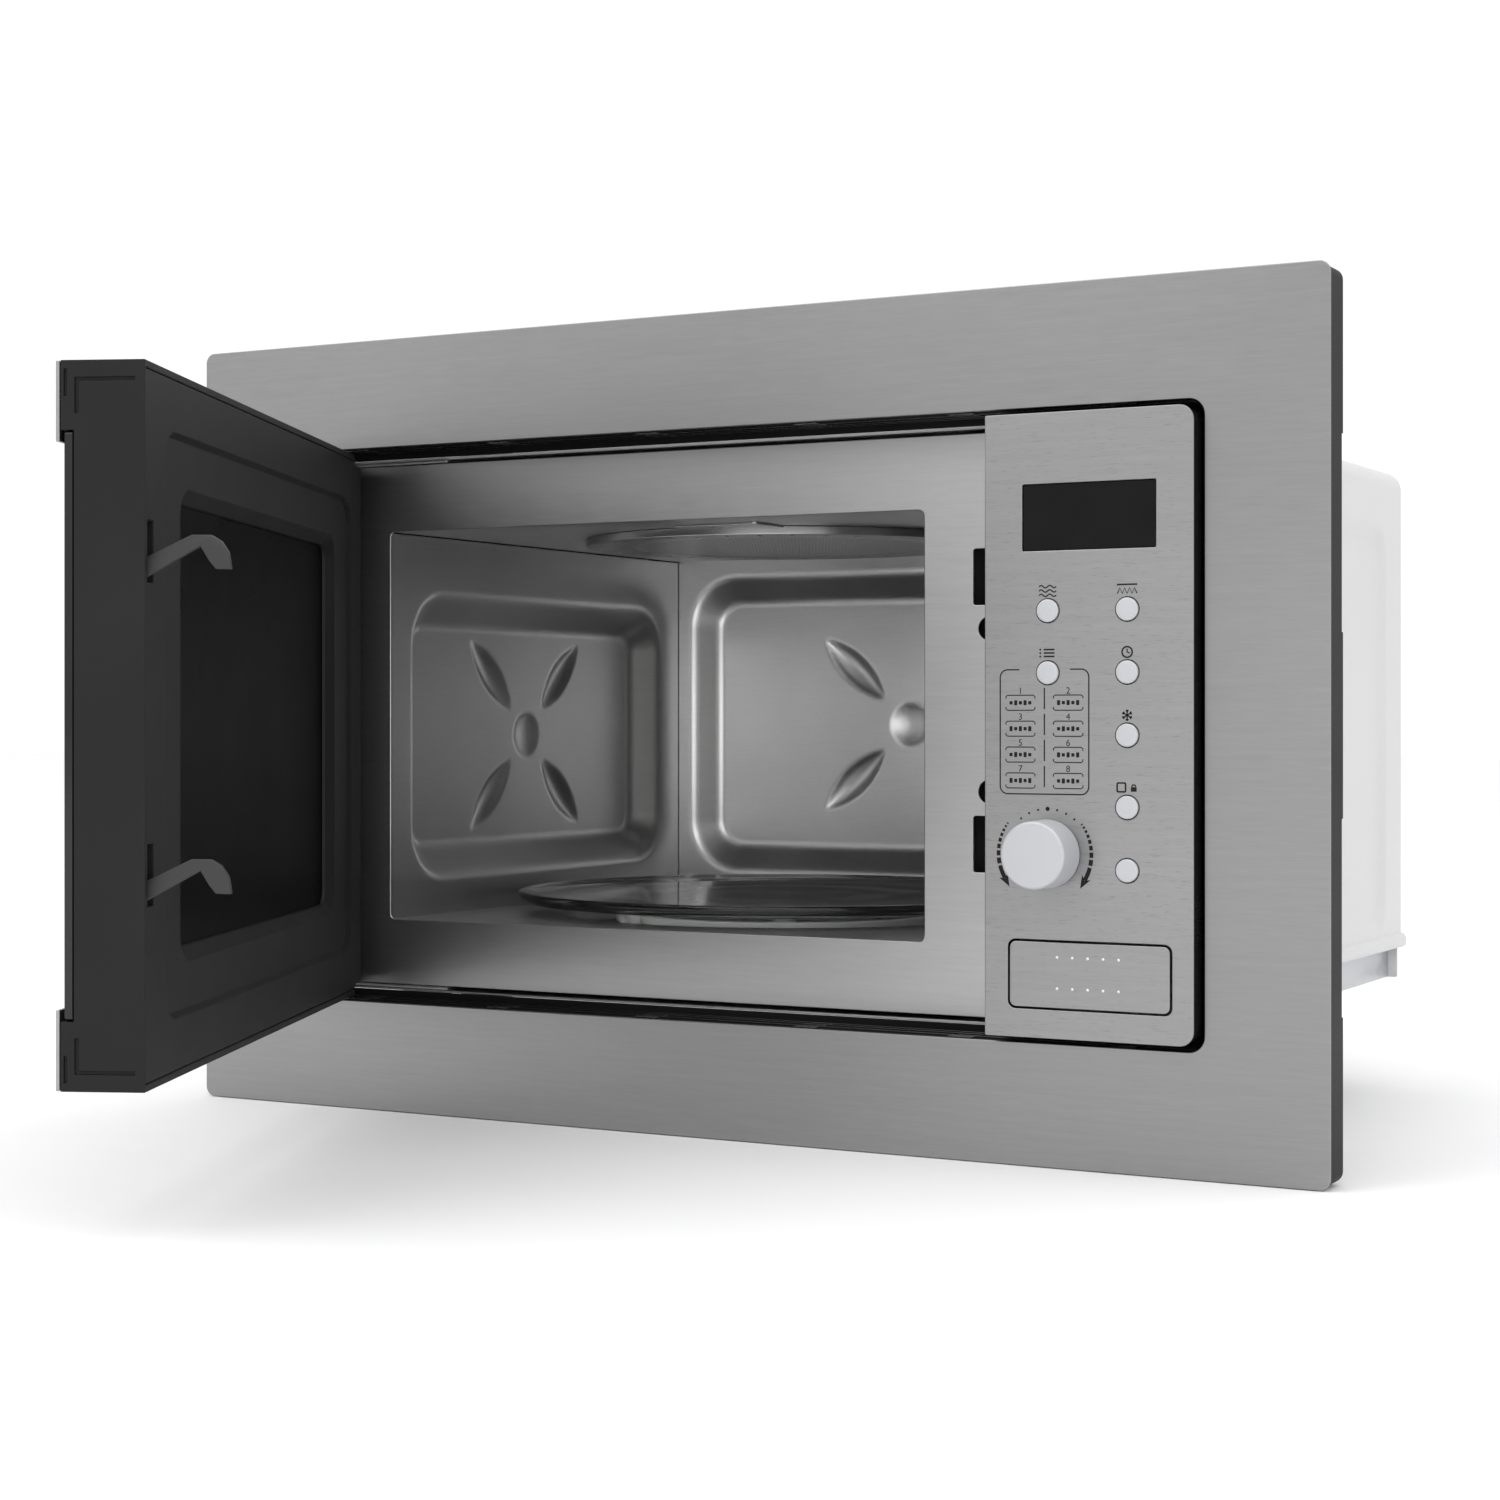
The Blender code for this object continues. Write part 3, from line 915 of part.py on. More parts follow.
# ------------------------------------------------------------------ turntable
STEM_R = 3.0
MOTOR_TOP = DISH_Z - CAVITY_T - GAP
drive = rod((TURN_X, TURN_Y, MOTOR_TOP - 18), (TURN_X, TURN_Y, MOTOR_TOP), 25.0, sides=32)
drive_bore = rod((TURN_X, TURN_Y, MOTOR_TOP - 12), (TURN_X, TURN_Y, MOTOR_TOP + 5), STEM_R + 0.3)
place("turntable_motor", drive, ZINC, cut=[drive_bore])

coupler = turned([(0, GLASS_PLATE_Z - GAP), (7, GLASS_PLATE_Z - GAP), (7, DISH_Z + 1), (STEM_R, DISH_Z + 1),
                  (STEM_R, MOTOR_TOP - 11), (0, MOTOR_TOP - 11)], (TURN_X, TURN_Y, 0), sides=16)
lobes = []
for i in range(3):
    lobe = block((4.0, 20.0), (-5.0, 5.0), (GLASS_PLATE_Z - GAP - 5.5, GLASS_PLATE_Z - GAP - 0.6))
    lobe = moved(lobe, turn=Matrix.Rotation(2 * math.pi * i / 3, 3, "Z"))
    lobes.append(moved(lobe, (TURN_X, TURN_Y, 0)))
place("turntable_coupler", coupler, WHITE_PLASTIC, axis=(TURN_X, TURN_Y, GLASS_PLATE_Z), add=lobes)

RIM_TOP = GLASS_PLATE_Z + 6.8
glass_profile = [(0, GLASS_PLATE_Z + GLASS_PLATE_T), (TURNTABLE_R - 14, GLASS_PLATE_Z + GLASS_PLATE_T),
                 (TURNTABLE_R - 5, RIM_TOP - 0.6), (TURNTABLE_R - 2, RIM_TOP), (TURNTABLE_R, RIM_TOP - 1.5),
                 (TURNTABLE_R - 1, RIM_TOP - 4.5), (TURNTABLE_R - 8, GLASS_PLATE_Z), (0, GLASS_PLATE_Z)]
place("glass_turntable", turned(glass_profile, (TURN_X, TURN_Y, 0), sides=48), CLEAR_GLASS,
      axis=(TURN_X, TURN_Y, GLASS_PLATE_Z), smooth=40)

RING_OUT = ROLLER_TRACK_R - 5.0
RING_IN = RING_OUT - 8.0
AXLE_R = 1.5
ring = turned([(RING_IN, ROLLER_Z + 2), (RING_OUT, ROLLER_Z + 2), (RING_OUT, ROLLER_Z - 2.5),
               (RING_IN, ROLLER_Z - 2.5)], (TURN_X, TURN_Y, 0), sides=36)
axles = []
for i in range(3):
    stub = rod((RING_OUT - 3, 0, ROLLER_Z), (ROLLER_TRACK_R + 4.5, 0, ROLLER_Z), AXLE_R, sides=12)
    stub = moved(stub, turn=Matrix.Rotation(2 * math.pi * i / 3, 3, "Z"))
    axles.append(moved(stub, (TURN_X, TURN_Y, 0)))
place("roller_ring", ring, WHITE_PLASTIC, axis=(TURN_X, TURN_Y, ROLLER_Z), add=axles)

ROLLER_HALF_W = 3.0
for i in range(3):
    angle = 2 * math.pi * i / 3
    roller = turned([(AXLE_R + 0.3, -ROLLER_HALF_W), (AXLE_R + 0.3, ROLLER_HALF_W),
                     (ROLLER_R - 0.8, ROLLER_HALF_W), (ROLLER_R, ROLLER_HALF_W - 0.8),
                     (ROLLER_R, -ROLLER_HALF_W + 0.8), (ROLLER_R - 0.8, -ROLLER_HALF_W)],
                    (ROLLER_TRACK_R, 0, ROLLER_Z), "X", 20)
    roller = moved(roller, turn=Matrix.Rotation(angle, 3, "Z"))
    centre = (TURN_X + ROLLER_TRACK_R * math.cos(angle), TURN_Y + ROLLER_TRACK_R * math.sin(angle), ROLLER_Z)
    place(f"roller_{i + 1}", moved(roller, (TURN_X, TURN_Y, 0)), WHITE_PLASTIC, axis=centre, smooth=40)

# ------------------------------------------------------------------ grill and lamp
CEILING_OUT = CAVITY_TOP + CAVITY_T + GAP
REFLECTOR_TOP = CEILING_OUT + 18.0
reflector = turned([(0, REFLECTOR_TOP), (GRILL_R - 8, REFLECTOR_TOP), (GRILL_R - 1, CEILING_OUT + 1),
                    (GRILL_R + 8, CEILING_OUT + 1), (GRILL_R + 8, CEILING_OUT), (GRILL_R - 2, CEILING_OUT),
                    (GRILL_R - 9, REFLECTOR_TOP - 1), (0, REFLECTOR_TOP - 1)], (GRILL_X, GRILL_Y, 0), sides=36)
place("grill_reflector", reflector, ZINC, smooth=40)

HEATER_R, HEATER_TUBE_R = 66.0, 3.2
HEATER_Z = CEILING_OUT + 7.0
heater_points = []
for i in range(33):
    angle = math.radians(-255 + 330 * i / 32)
    heater_points.append((GRILL_X + HEATER_R * math.cos(angle), GRILL_Y + HEATER_R * math.sin(angle), HEATER_Z))
place("grill_element", wire(heater_points, HEATER_TUBE_R, 2), HEATER, smooth=40)

GUARD_R, GUARD_Z = 106.0, 95.0
guard = turned([(0, GUARD_Z + 1), (GUARD_R - 1.2, GUARD_Z + 1), (GUARD_R - 1.2, CAVITY_TOP - GAP),
                (GUARD_R, CAVITY_TOP - GAP), (GUARD_R, GUARD_Z), (0, GUARD_Z)],
               (GRILL_X, GRILL_Y, 0), sides=40)
GUARD_SLOTS = 8
slots = []
for i in range(GUARD_SLOTS):
    slot = block((24.0, 92.0), (-5.0, 5.0), (GUARD_Z - 5, GUARD_Z + 3))
    slot = moved(slot, turn=Matrix.Rotation(2 * math.pi * (i + 0.5) / GUARD_SLOTS, 3, "Z"))
    slots.append(moved(slot, (GRILL_X, GRILL_Y, 0)))
place("grill_guard", guard, CAVITY_STEEL, cut=[join(*slots)])

lamp_x = CAVITY_RIGHT + CAVITY_T + GAP
bulb = turned([(0, 0.0), (6, 1.5), (9, 7.0), (9, 16.0), (6, 22.0), (6, 24.0), (11, 24.0), (11, 36.0),
               (0, 36.0)], (lamp_x + 1, 78.0, 74.0), "X", 20)
place("oven_lamp", bulb, CLEAR_GLASS, smooth=40)
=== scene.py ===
import math

import bmesh
import bpy
from mathutils import Matrix, Vector


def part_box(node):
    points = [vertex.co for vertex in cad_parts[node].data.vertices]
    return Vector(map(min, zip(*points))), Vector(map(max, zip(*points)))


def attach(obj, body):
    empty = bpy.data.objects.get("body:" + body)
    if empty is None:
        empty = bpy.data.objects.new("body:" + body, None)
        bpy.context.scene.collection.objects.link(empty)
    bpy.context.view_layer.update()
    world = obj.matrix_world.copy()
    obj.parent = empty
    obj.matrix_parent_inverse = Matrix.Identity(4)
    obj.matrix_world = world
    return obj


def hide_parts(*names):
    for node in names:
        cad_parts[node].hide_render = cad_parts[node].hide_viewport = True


# A built-in microwave oven with a grill. Everything is drawn in millimetres in the oven's own frame: zero in
# the middle of the trim's front, X right, Y into the cupboard, Z up. OVEN takes that to the part's frame.
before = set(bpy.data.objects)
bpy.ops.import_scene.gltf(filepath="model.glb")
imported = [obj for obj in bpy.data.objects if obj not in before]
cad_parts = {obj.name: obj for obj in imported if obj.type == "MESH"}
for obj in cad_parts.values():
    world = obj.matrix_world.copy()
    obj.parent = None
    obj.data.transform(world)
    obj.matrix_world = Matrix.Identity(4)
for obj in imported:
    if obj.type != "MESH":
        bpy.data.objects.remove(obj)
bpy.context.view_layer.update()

MM = 0.001
ORIGIN = Vector((0.0, 21.0, -166.8))    # the part's zero, on the rear of the trim's lower rail
OVEN = Matrix.Diagonal((MM, MM, MM, 1.0)) @ Matrix.Translation(-ORIGIN)
SHOT = bpy.context.scene


# ------------------------------------------------------------------ studio
# The oven stands on its trim frame on a pale floor, in a white room. One wide lamp hangs high on the left, one
# over the floor, and a small one fills the cavity's mouth. Nothing here belongs to the oven.
class Signal:
    """A node's output that Python's own operators can reckon with."""

    def __init__(self, finish, socket):
        self.finish, self.socket = finish, socket

    def reckon(self, operation, first, second):
        return self.finish.node("ShaderNodeMath", {"operation": operation}, {0: first, 1: second})

    def __add__(self, other):
        return self.reckon("ADD", self, other)

    def __sub__(self, other):
        return self.reckon("SUBTRACT", self, other)

    def __rsub__(self, other):
        return self.reckon("SUBTRACT", other, self)

    def __mul__(self, other):
        return self.reckon("MULTIPLY", self, other)

    def __lt__(self, other):
        return self.reckon("LESS_THAN", self, other)

    __radd__ = __add__
    __rmul__ = __mul__


class Finish:
    """A material: fixed values are set on its shader, and what changes over the surface comes from nodes."""

    def __init__(self, name, fixed, turn=0.0, about=(0.0, 0.0, 0.0)):
        self.material = bpy.data.materials.new(name)
        self.material.use_nodes = True
        self.tree = self.material.node_tree
        self.shader = self.tree.nodes["Principled BSDF"]
        for label, value in fixed.items():
            self.shader.inputs[label].default_value = value
        pivot = Vector(about)
        swing = Matrix.Rotation(turn, 3, "Z")
        coordinates = self.node("ShaderNodeTexCoord", output="Object")
        self.place = self.node("ShaderNodeMapping", sockets={
            "Vector": coordinates, "Scale": (1 / MM, 1 / MM, 1 / MM), "Rotation": (0.0, 0.0, turn),
            "Location": swing @ (ORIGIN - pivot) + pivot})

    def node(self, kind, settings=None, sockets=None, output=0):
        """Any node: its settings first, then the values or links of its sockets."""
        made = self.tree.nodes.new(kind)
        for label, value in (settings or {}).items():
            setattr(made, label, value)
        for label, value in (sockets or {}).items():
            if isinstance(value, Signal):
                self.tree.links.new(value.socket, made.inputs[label])
            else:
                made.inputs[label].default_value = value
        return Signal(self, made.outputs[output])

    def noise(self, grain, detail=2.0, rough=0.5):
        """Noise from 0 to 1 whose grain is this many millimetres along X, Y and Z."""
        stretched = self.node("ShaderNodeMapping", sockets={
            "Vector": self.place, "Scale": tuple(1.0 / size for size in grain)})
        return self.node("ShaderNodeTexNoise", sockets={
            "Vector": stretched, "Scale": 1.0, "Detail": detail, "Roughness": rough})

    def fit(self, value, low, high, start=0.0, end=1.0):
        """A value between low and high, brought to the range from start to end and held there."""
        return self.node("ShaderNodeMapRange", {"clamp": True}, {
            "Value": value, "From Min": low, "From Max": high, "To Min": start, "To Max": end})

    def axis(self, which):
        """The place along one axis, in millimetres."""
        return self.node("ShaderNodeSeparateXYZ", sockets={0: self.place}, output=which)

    def colours(self, share, first, second):
        """Two colours mixed by a share."""
        ends = [(*c, 1.0) if isinstance(c, tuple) else c for c in (first, second)]
        return self.node("ShaderNodeMix", {"data_type": "RGBA"}, {0: share, 6: ends[0], 7: ends[1]}, 2)

    def feed(self, **sockets):
        """Links signals to the shader: colour, rough, metal, alpha, glow."""
        labels = {"colour": "Base Color", "rough": "Roughness", "metal": "Metallic", "alpha": "Alpha",
                  "glow": "Emission Color"}
        for label, signal in sockets.items():
            self.tree.links.new(signal.socket, self.shader.inputs[labels[label]])

    def relief(self, height, depth, strength=1.0):
        """Bump of this depth in millimetres."""
        bump = self.node("ShaderNodeBump", sockets={
            "Height": height, "Distance": depth * MM, "Strength": strength})
        self.tree.links.new(bump.socket, self.shader.inputs["Normal"])


def floor_finish():
    """Pale matt paper with a faint mottle."""
    paper = Finish("studio_floor", {"Specular IOR Level": 0.2, "Roughness": 0.8})
    paper.feed(colour=paper.colours(paper.noise((90.0, 90.0, 90.0)), (0.90, 0.90, 0.905), (0.93, 0.93, 0.93)))
    return paper.material


FLOOR_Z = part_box("trim_facing")[0][2] - 0.0003
FLOOR_REACH = 14.0
floor_mesh = bpy.data.meshes.new("studio_floor")
floor_mesh.from_pydata([(x * FLOOR_REACH, y * FLOOR_REACH, FLOOR_Z) for x, y in
                        ((-1, -1), (1, -1), (1, 1), (-1, 1))], [], [(0, 1, 2, 3)])
floor_mesh.materials.append(floor_finish())
floor = bpy.data.objects.new("studio_floor", floor_mesh)
SHOT.collection.objects.link(floor)

SHOT.view_settings.view_transform = "Standard"
ROOM = bpy.data.worlds.new("studio_room")
SHOT.world = ROOM
ROOM.use_nodes = True
room = ROOM.node_tree
room.nodes.clear()


def room_node(kind, **values):
    """A node of the room's light with its inputs set or linked by name."""
    made = room.nodes.new(kind)
    for label, value in values.items():
        socket = made.inputs[label.replace("_", " ")]
        if isinstance(value, bpy.types.NodeSocket):
            room.links.new(value, socket)
        else:
            socket.default_value = value
    return made


def ramp(value, low, high, start, end):
    """A number of the room's light brought from one range to another, and held there."""
    made = room_node("ShaderNodeMapRange", Value=value, From_Min=low, From_Max=high, To_Min=start, To_Max=end)
    return made.outputs[0]


aim = room.nodes.new("ShaderNodeTexCoord").outputs["Generated"]
split = room.nodes.new("ShaderNodeSeparateXYZ")
room.links.new(aim, split.inputs[0])
SIDE_GLOW = (-1.0, 1.0, 0.84, 1.04)        # the room is a little brighter on its right
HEIGHT_GLOW = (-0.25, 0.75, 0.80, 1.22)    # and overhead
SEEN_WHITE = 1.05                          # how bright the bare room looks to the camera
across = ramp(split.outputs[0], *SIDE_GLOW)
upward = ramp(split.outputs[2], *HEIGHT_GLOW)
product = room.nodes.new("ShaderNodeMath")
product.operation = "MULTIPLY"
room.links.new(across, product.inputs[0])
room.links.new(upward, product.inputs[1])
glow = room_node("ShaderNodeBackground", Color=(1.0, 1.0, 1.0, 1.0), Strength=product.outputs[0])
white = room_node("ShaderNodeBackground", Color=(1.0, 1.0, 1.0, 1.0), Strength=SEEN_WHITE)
ray = room.nodes.new("ShaderNodeLightPath")
choice = room.nodes.new("ShaderNodeMixShader")
room.links.new(ray.outputs["Is Camera Ray"], choice.inputs[0])
room.links.new(glow.outputs[0], choice.inputs[1])
room.links.new(white.outputs[0], choice.inputs[2])
exit_node = room.nodes.new("ShaderNodeOutputWorld")
room.links.new(choice.outputs[0], exit_node.inputs[0])


def lamp(name, spot, target, size, watts):
    """A flat lamp at a spot, turned to a target, both in metres."""
    light = bpy.data.lights.new(name, "AREA")
    light.shape = "RECTANGLE"
    light.size, light.size_y = size
    light.energy = watts
    made = bpy.data.objects.new(name, light)
    made.location = spot
    made.rotation_euler = (Vector(target) - Vector(spot)).to_track_quat("-Z", "Y").to_euler()
    made.visible_camera = False
    SHOT.collection.objects.link(made)


lamp("wide_lamp", (-1.6, -1.7, 2.6), (0.0, 0.0, 0.15), (2.6, 2.6), 26.0)
lamp("floor_lamp", (0.6, -0.9, 2.6), (0.5, 0.6, 0.0), (3.0, 3.0), 22.0)
lamp("cavity_fill", (-0.07, 0.012, 0.17), (-0.12, 0.3, 0.16), (0.20, 0.12), 0.145)

CAMERA_SPOT = (0.61292, -1.13383, 0.16817)
CAMERA_TURN = math.radians(29.354)
camera = bpy.data.objects.new("camera", bpy.data.cameras.new("camera"))
camera.data.sensor_width = 36.0
camera.data.lens = 64.91
camera.data.shift_x = 0.0467
camera.data.shift_y = -0.0185
camera.location = CAMERA_SPOT
camera.rotation_euler = (math.pi / 2, 0.0, CAMERA_TURN)
SHOT.collection.objects.link(camera)
SHOT.camera = camera


# ------------------------------------------------------------------ trim frame: brushed sheet
# A 1.2 mm brushed steel sheet with a rectangular opening, blanked and slightly turned over at its edges.
# It is bonded to the moulded frame behind it; the opening's corners are sharper on the hinge side.
def brushed_steel(name, tone, dashes=0.0, **swing):
    """Steel brushed along X. Tone is how bright it is, dashes how strongly its longer scratches show."""
    steel = Finish(name, {"Metallic": 1.0, "IOR": 2.2}, **swing)
    grain = steel.noise((16.0, 0.5, 0.5), 3.0, 0.6)
    streak = steel.noise((70.0, 2.6, 2.6), 2.0, 0.6)
    cloud = steel.noise((210.0, 160.0, 160.0), 1.0)
    scratch = steel.fit(steel.noise((5.0, 0.42, 0.42), 1.0, 0.4), 0.64, 0.76)
    share = steel.fit(grain * 0.55 + streak * 0.3 + cloud * 0.45 - scratch * dashes, 0.2, 1.1)
    steel.feed(colour=steel.colours(share, (tone * 0.80,) * 3, (tone * 1.17,) * 3),
               rough=steel.fit(grain + scratch * 0.3, 0.2, 0.9, 0.33, 0.47))
    steel.relief(grain + streak * 0.4, 0.012, 0.35)
    return steel.material


def free(bm, name="sheet"):
    """A bmesh as a mesh with its doubles merged and its faces pointing out."""
    bmesh.ops.remove_doubles(bm, verts=bm.verts, dist=1e-4)
    bmesh.ops.recalc_face_normals(bm, faces=bm.faces)
    mesh = bpy.data.meshes.new(name)
    bm.to_mesh(mesh)
    bm.free()
    return mesh


def worked(mesh, *steps):
    """A mesh after some modifiers, each a type and its settings."""
    obj = mesh if isinstance(mesh, bpy.types.Object) else bpy.data.objects.new("work", mesh)
    SHOT.collection.objects.link(obj)
    for kind, settings in steps:
        step = obj.modifiers.new(kind, kind)
        for label, value in settings.items():
            setattr(step, label, value)
    shaped = obj.evaluated_get(bpy.context.evaluated_depsgraph_get())
    result = bpy.data.meshes.new_from_object(shaped, preserve_all_data_layers=True,
                                             depsgraph=bpy.context.evaluated_depsgraph_get())
    bpy.data.objects.remove(obj, do_unlink=True)
    return result


def joined(*meshes):
    """Several meshes as one."""
    bm = bmesh.new()
    for mesh in meshes:
        bm.from_mesh(mesh)
    mesh = bpy.data.meshes.new("joined")
    bm.to_mesh(mesh)
    bm.free()
    return mesh


def carved(mesh, add=(), cut=()):
    """A mesh with others united to it and others taken out of it."""
    for operation, tools in (("UNION", add), ("DIFFERENCE", cut)):
        for tool in tools:
            helper = bpy.data.objects.new("tool", tool)
            SHOT.collection.objects.link(helper)
            mesh = worked(mesh, ("BOOLEAN", {"operation": operation, "solver": "EXACT", "object": helper}))
            bpy.data.objects.remove(helper, do_unlink=True)
    bm = bmesh.new()
    bm.from_mesh(mesh)
    return free(bm)


def softened(mesh, width, segments=2, angle=34.0, cuts=()):
    """A mesh with its flat faces whole again and its sharper edges rounded.

    Cuts are heights at which its faces stay parted, so that each has few holes and fills cleanly.
    """
    bm = bmesh.new()
    bm.from_mesh(mesh)
    bmesh.ops.remove_doubles(bm, verts=bm.verts, dist=1e-4)
    for z in cuts:
        parted = bmesh.ops.bisect_plane(bm, geom=[*bm.verts, *bm.edges, *bm.faces], plane_co=(0, 0, z),
                                        plane_no=(0, 0, 1))
        for part in parted["geom_cut"]:
            if isinstance(part, bmesh.types.BMEdge):
                part.seam = True
    bmesh.ops.dissolve_limit(bm, angle_limit=math.radians(0.4), verts=bm.verts, edges=bm.edges, delimit={"SEAM"})
    whole = bpy.data.meshes.new("whole")
    bm.to_mesh(whole)
    bm.free()
    whole.shade_smooth()
    return worked(whole, ("BEVEL", {"width": width, "segments": segments, "limit_method": "ANGLE",
                                    "angle_limit": math.radians(angle), "harden_normals": True,
                                    "use_clamp_overlap": False}))


def smooth(mesh, angle=38.0):
    """A mesh shaded smooth except where it turns by more than an angle."""
    mesh.shade_smooth()
    mesh.set_sharp_from_angle(angle=math.radians(angle))
    return mesh


def rounded_rect(half_u, half_v, radius, centre=(0.0, 0.0), steps=8):
    """Corner points of a rectangle with round corners, anticlockwise; radius may be one per corner."""
    radii = radius if isinstance(radius, (tuple, list)) else (radius,) * 4
    points = []
    for corner, (su, sv) in enumerate(((1, 1), (-1, 1), (-1, -1), (1, -1))):
        r = radii[corner]
        for step in range(steps + 1):
            angle = math.pi / 2 * (corner + step / steps)
            points.append((centre[0] + su * (half_u - r) + r * math.cos(angle),
                           centre[1] + sv * (half_v - r) + r * math.sin(angle)))
    return points


def span_rect(u, v, radius=0.0, steps=8):
    """A rectangle given by its two spans."""
    if not radius:
        return [(u[1], v[1]), (u[0], v[1]), (u[0], v[0]), (u[1], v[0])]
    return rounded_rect((u[1] - u[0]) / 2, (v[1] - v[0]) / 2, radius,
                        ((u[0] + u[1]) / 2, (v[0] + v[1]) / 2), steps)


def circle(centre, radius, sides=48):
    """Points of a circle."""
    turns = [2 * math.pi * i / sides for i in range(sides)]
    return [(centre[0] + radius * math.cos(t), centre[1] + radius * math.sin(t)) for t in turns]


PLANES = {                       # where a flat outline's own axes and its thickness point
    "xz": Matrix(((1, 0, 0), (0, 0, 1), (0, 1, 0))),
    "xy": Matrix(((1, 0, 0), (0, 1, 0), (0, 0, 1))),
    "yz": Matrix(((0, 0, 1), (1, 0, 0), (0, 1, 0))),
}


def plate(plane, outline, span, holes=()):
    """A flat outline with holes, drawn in a plane and thickened over a span across it."""
    curve = bpy.data.curves.new("outline", "CURVE")
    curve.dimensions = "2D"
    curve.fill_mode = "BOTH"
    curve.extrude = abs(span[1] - span[0]) / 2
    for points in (outline, *holes):
        spline = curve.splines.new("POLY")
        spline.points.add(len(points) - 1)
        spline.use_cyclic_u = True
        for target, (u, v) in zip(spline.points, points):
            target.co = (u, v, 0.0, 1.0)
    mesh = worked(bpy.data.objects.new("outline", curve))
    mesh.transform(PLANES[plane].to_4x4() @ Matrix.Translation((0, 0, (span[0] + span[1]) / 2)))
    bm = bmesh.new()
    bm.from_mesh(mesh)
    return free(bm)


def piece(name, mesh, finish, body="oven", stands_for=(), place=OVEN):
    """A finished piece: its mesh is put in place, and it rides on its body."""
    mesh.transform(place)
    mesh.name = name
    mesh.materials.clear()
    mesh.materials.append(finish)
    obj = bpy.data.objects.new(name, mesh)
    SHOT.collection.objects.link(obj)
    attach(obj, body)
    if stands_for:
        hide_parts(*([stands_for] if isinstance(stands_for, str) else stands_for))
    return obj


TRIM_HALF = (297.5, 194.0)
OPENING_HALF = (243.1, 139.6)


def opening(spare):
    """The trim's opening, this much larger all round."""
    return rounded_rect(OPENING_HALF[0] + spare, OPENING_HALF[1] + spare,
                        (7.0 + spare, 4.0 + spare, 4.0 + spare, 7.0 + spare))


TRIM_STEEL = brushed_steel("trim_brushed_steel", 0.33)
trim_sheet = plate("xz", rounded_rect(*TRIM_HALF, 5.0), (0.0, 1.2), [opening(0.0)])
piece("trim_sheet", softened(trim_sheet, 0.45, 3), TRIM_STEEL, stands_for="trim_facing")


# ------------------------------------------------------------------ trim frame: moulded frame
# A black moulded frame that carries the sheet. Its rim is the trim's side, and its glossy inner wall leads
# back past small ledges to the lip behind the door. Pads and notches on its rear meet the cupboard.
def moulded_plastic(name, colour, gloss=0.42, texture=0.5, shine=0.5, **swing):
    """Moulded plastic with a fine spark-eroded texture and slight unevenness."""
    plastic = Finish(name, {"IOR": 1.5, "Specular IOR Level": shine}, **swing)
    pebble = plastic.noise((0.55, 0.55, 0.55), 3.0, 0.6)
    sweep = plastic.noise((60.0, 60.0, 60.0), 2.0)
    lighter = tuple(min(1.0, c * 1.22 + 0.002) for c in colour)
    plastic.feed(colour=plastic.colours(plastic.fit(sweep * 0.7 + pebble * 0.3, 0.3, 0.7), colour, lighter),
                 rough=plastic.fit(sweep + pebble * 0.5, 0.4, 1.1, gloss - 0.05, gloss + 0.06))
    plastic.relief(pebble, 0.05 * texture, 0.5)
    return plastic.material


def block(x, y, z):
    """A box between two values along each axis."""
    size = [abs(a[1] - a[0]) for a in (x, y, z)]
    middle = [(a[1] + a[0]) / 2 for a in (x, y, z)]
    bm = bmesh.new()
    bmesh.ops.create_cube(bm, size=1.0, matrix=Matrix.LocRotScale(middle, None, size))
    return free(bm)


def ring_of_loops(loops):
    """A closed ring whose section is given loop by loop; each loop is a depth and its outline in X and Z."""
    bm = bmesh.new()
    rows = [[bm.verts.new((u, y, v)) for u, v in outline] for y, outline in loops]
    for row, following in zip(rows, rows[1:] + rows[:1]):
        for i, vert in enumerate(row):
            j = (i + 1) % len(row)
            bm.faces.new((vert, row[j], following[j], following[i]))
    return free(bm)


def rim(inset, radius):
    """The moulded frame's outer edge, this far inside the steel's."""
    return rounded_rect(TRIM_HALF[0] - inset, TRIM_HALF[1] - inset, radius)


TRIM_PLASTIC = moulded_plastic("trim_black_plastic", (0.009, 0.009, 0.0095), 0.50, 0.15, 0.10)
GROOVE, RIM, HOLLOW = rim(3.2, 3.5), rim(0.6, 5.0), rim(3.0, 3.0)
carrier = ring_of_loops([(1.5, GROOVE), (3.2, GROOVE), (3.2, RIM), (21.0, RIM), (21.0, HOLLOW), (3.9, HOLLOW),
                         (3.9, opening(2.4)), (30.5, opening(2.4)), (30.5, opening(-3.1)), (28.9, opening(-3.1)),
                         (28.9, opening(0.5)), (1.5, opening(0.5))])
PAD_SPOTS = [(x, side * 166.8, 18.0, 12.0) for side in (-1, 1) for x in (-200.0, 0.0, 200.0)]
PAD_SPOTS += [(side * 270.3, 0.0, 12.0, 18.0) for side in (-1, 1)]
pads = [block((x - half_x, x + half_x), (2.5, 21.0), (z - half_z, z + half_z))
        for x, z, half_x, half_z in PAD_SPOTS]
QUARTERS = [(sx, sz) for sx in (-1, 1) for sz in (-1, 1)]
lugs = [block((sx * 150.0 - 12, sx * 150.0 + 12), (29.4, 48.9), (sz * 137.2, sz * 138.7)) for sx, sz in QUARTERS]
notches = [block((sx * 293.5, sx * 298.5), (19.2, 22.0), (sz * 39.5, sz * 123.4)) for sx, sz in QUARTERS]
carrier = carved(carrier, add=[joined(*pads, *lugs)], cut=[joined(*notches)])
piece("trim_moulding", softened(carrier, 0.3), TRIM_PLASTIC, stands_for="trim_carrier")

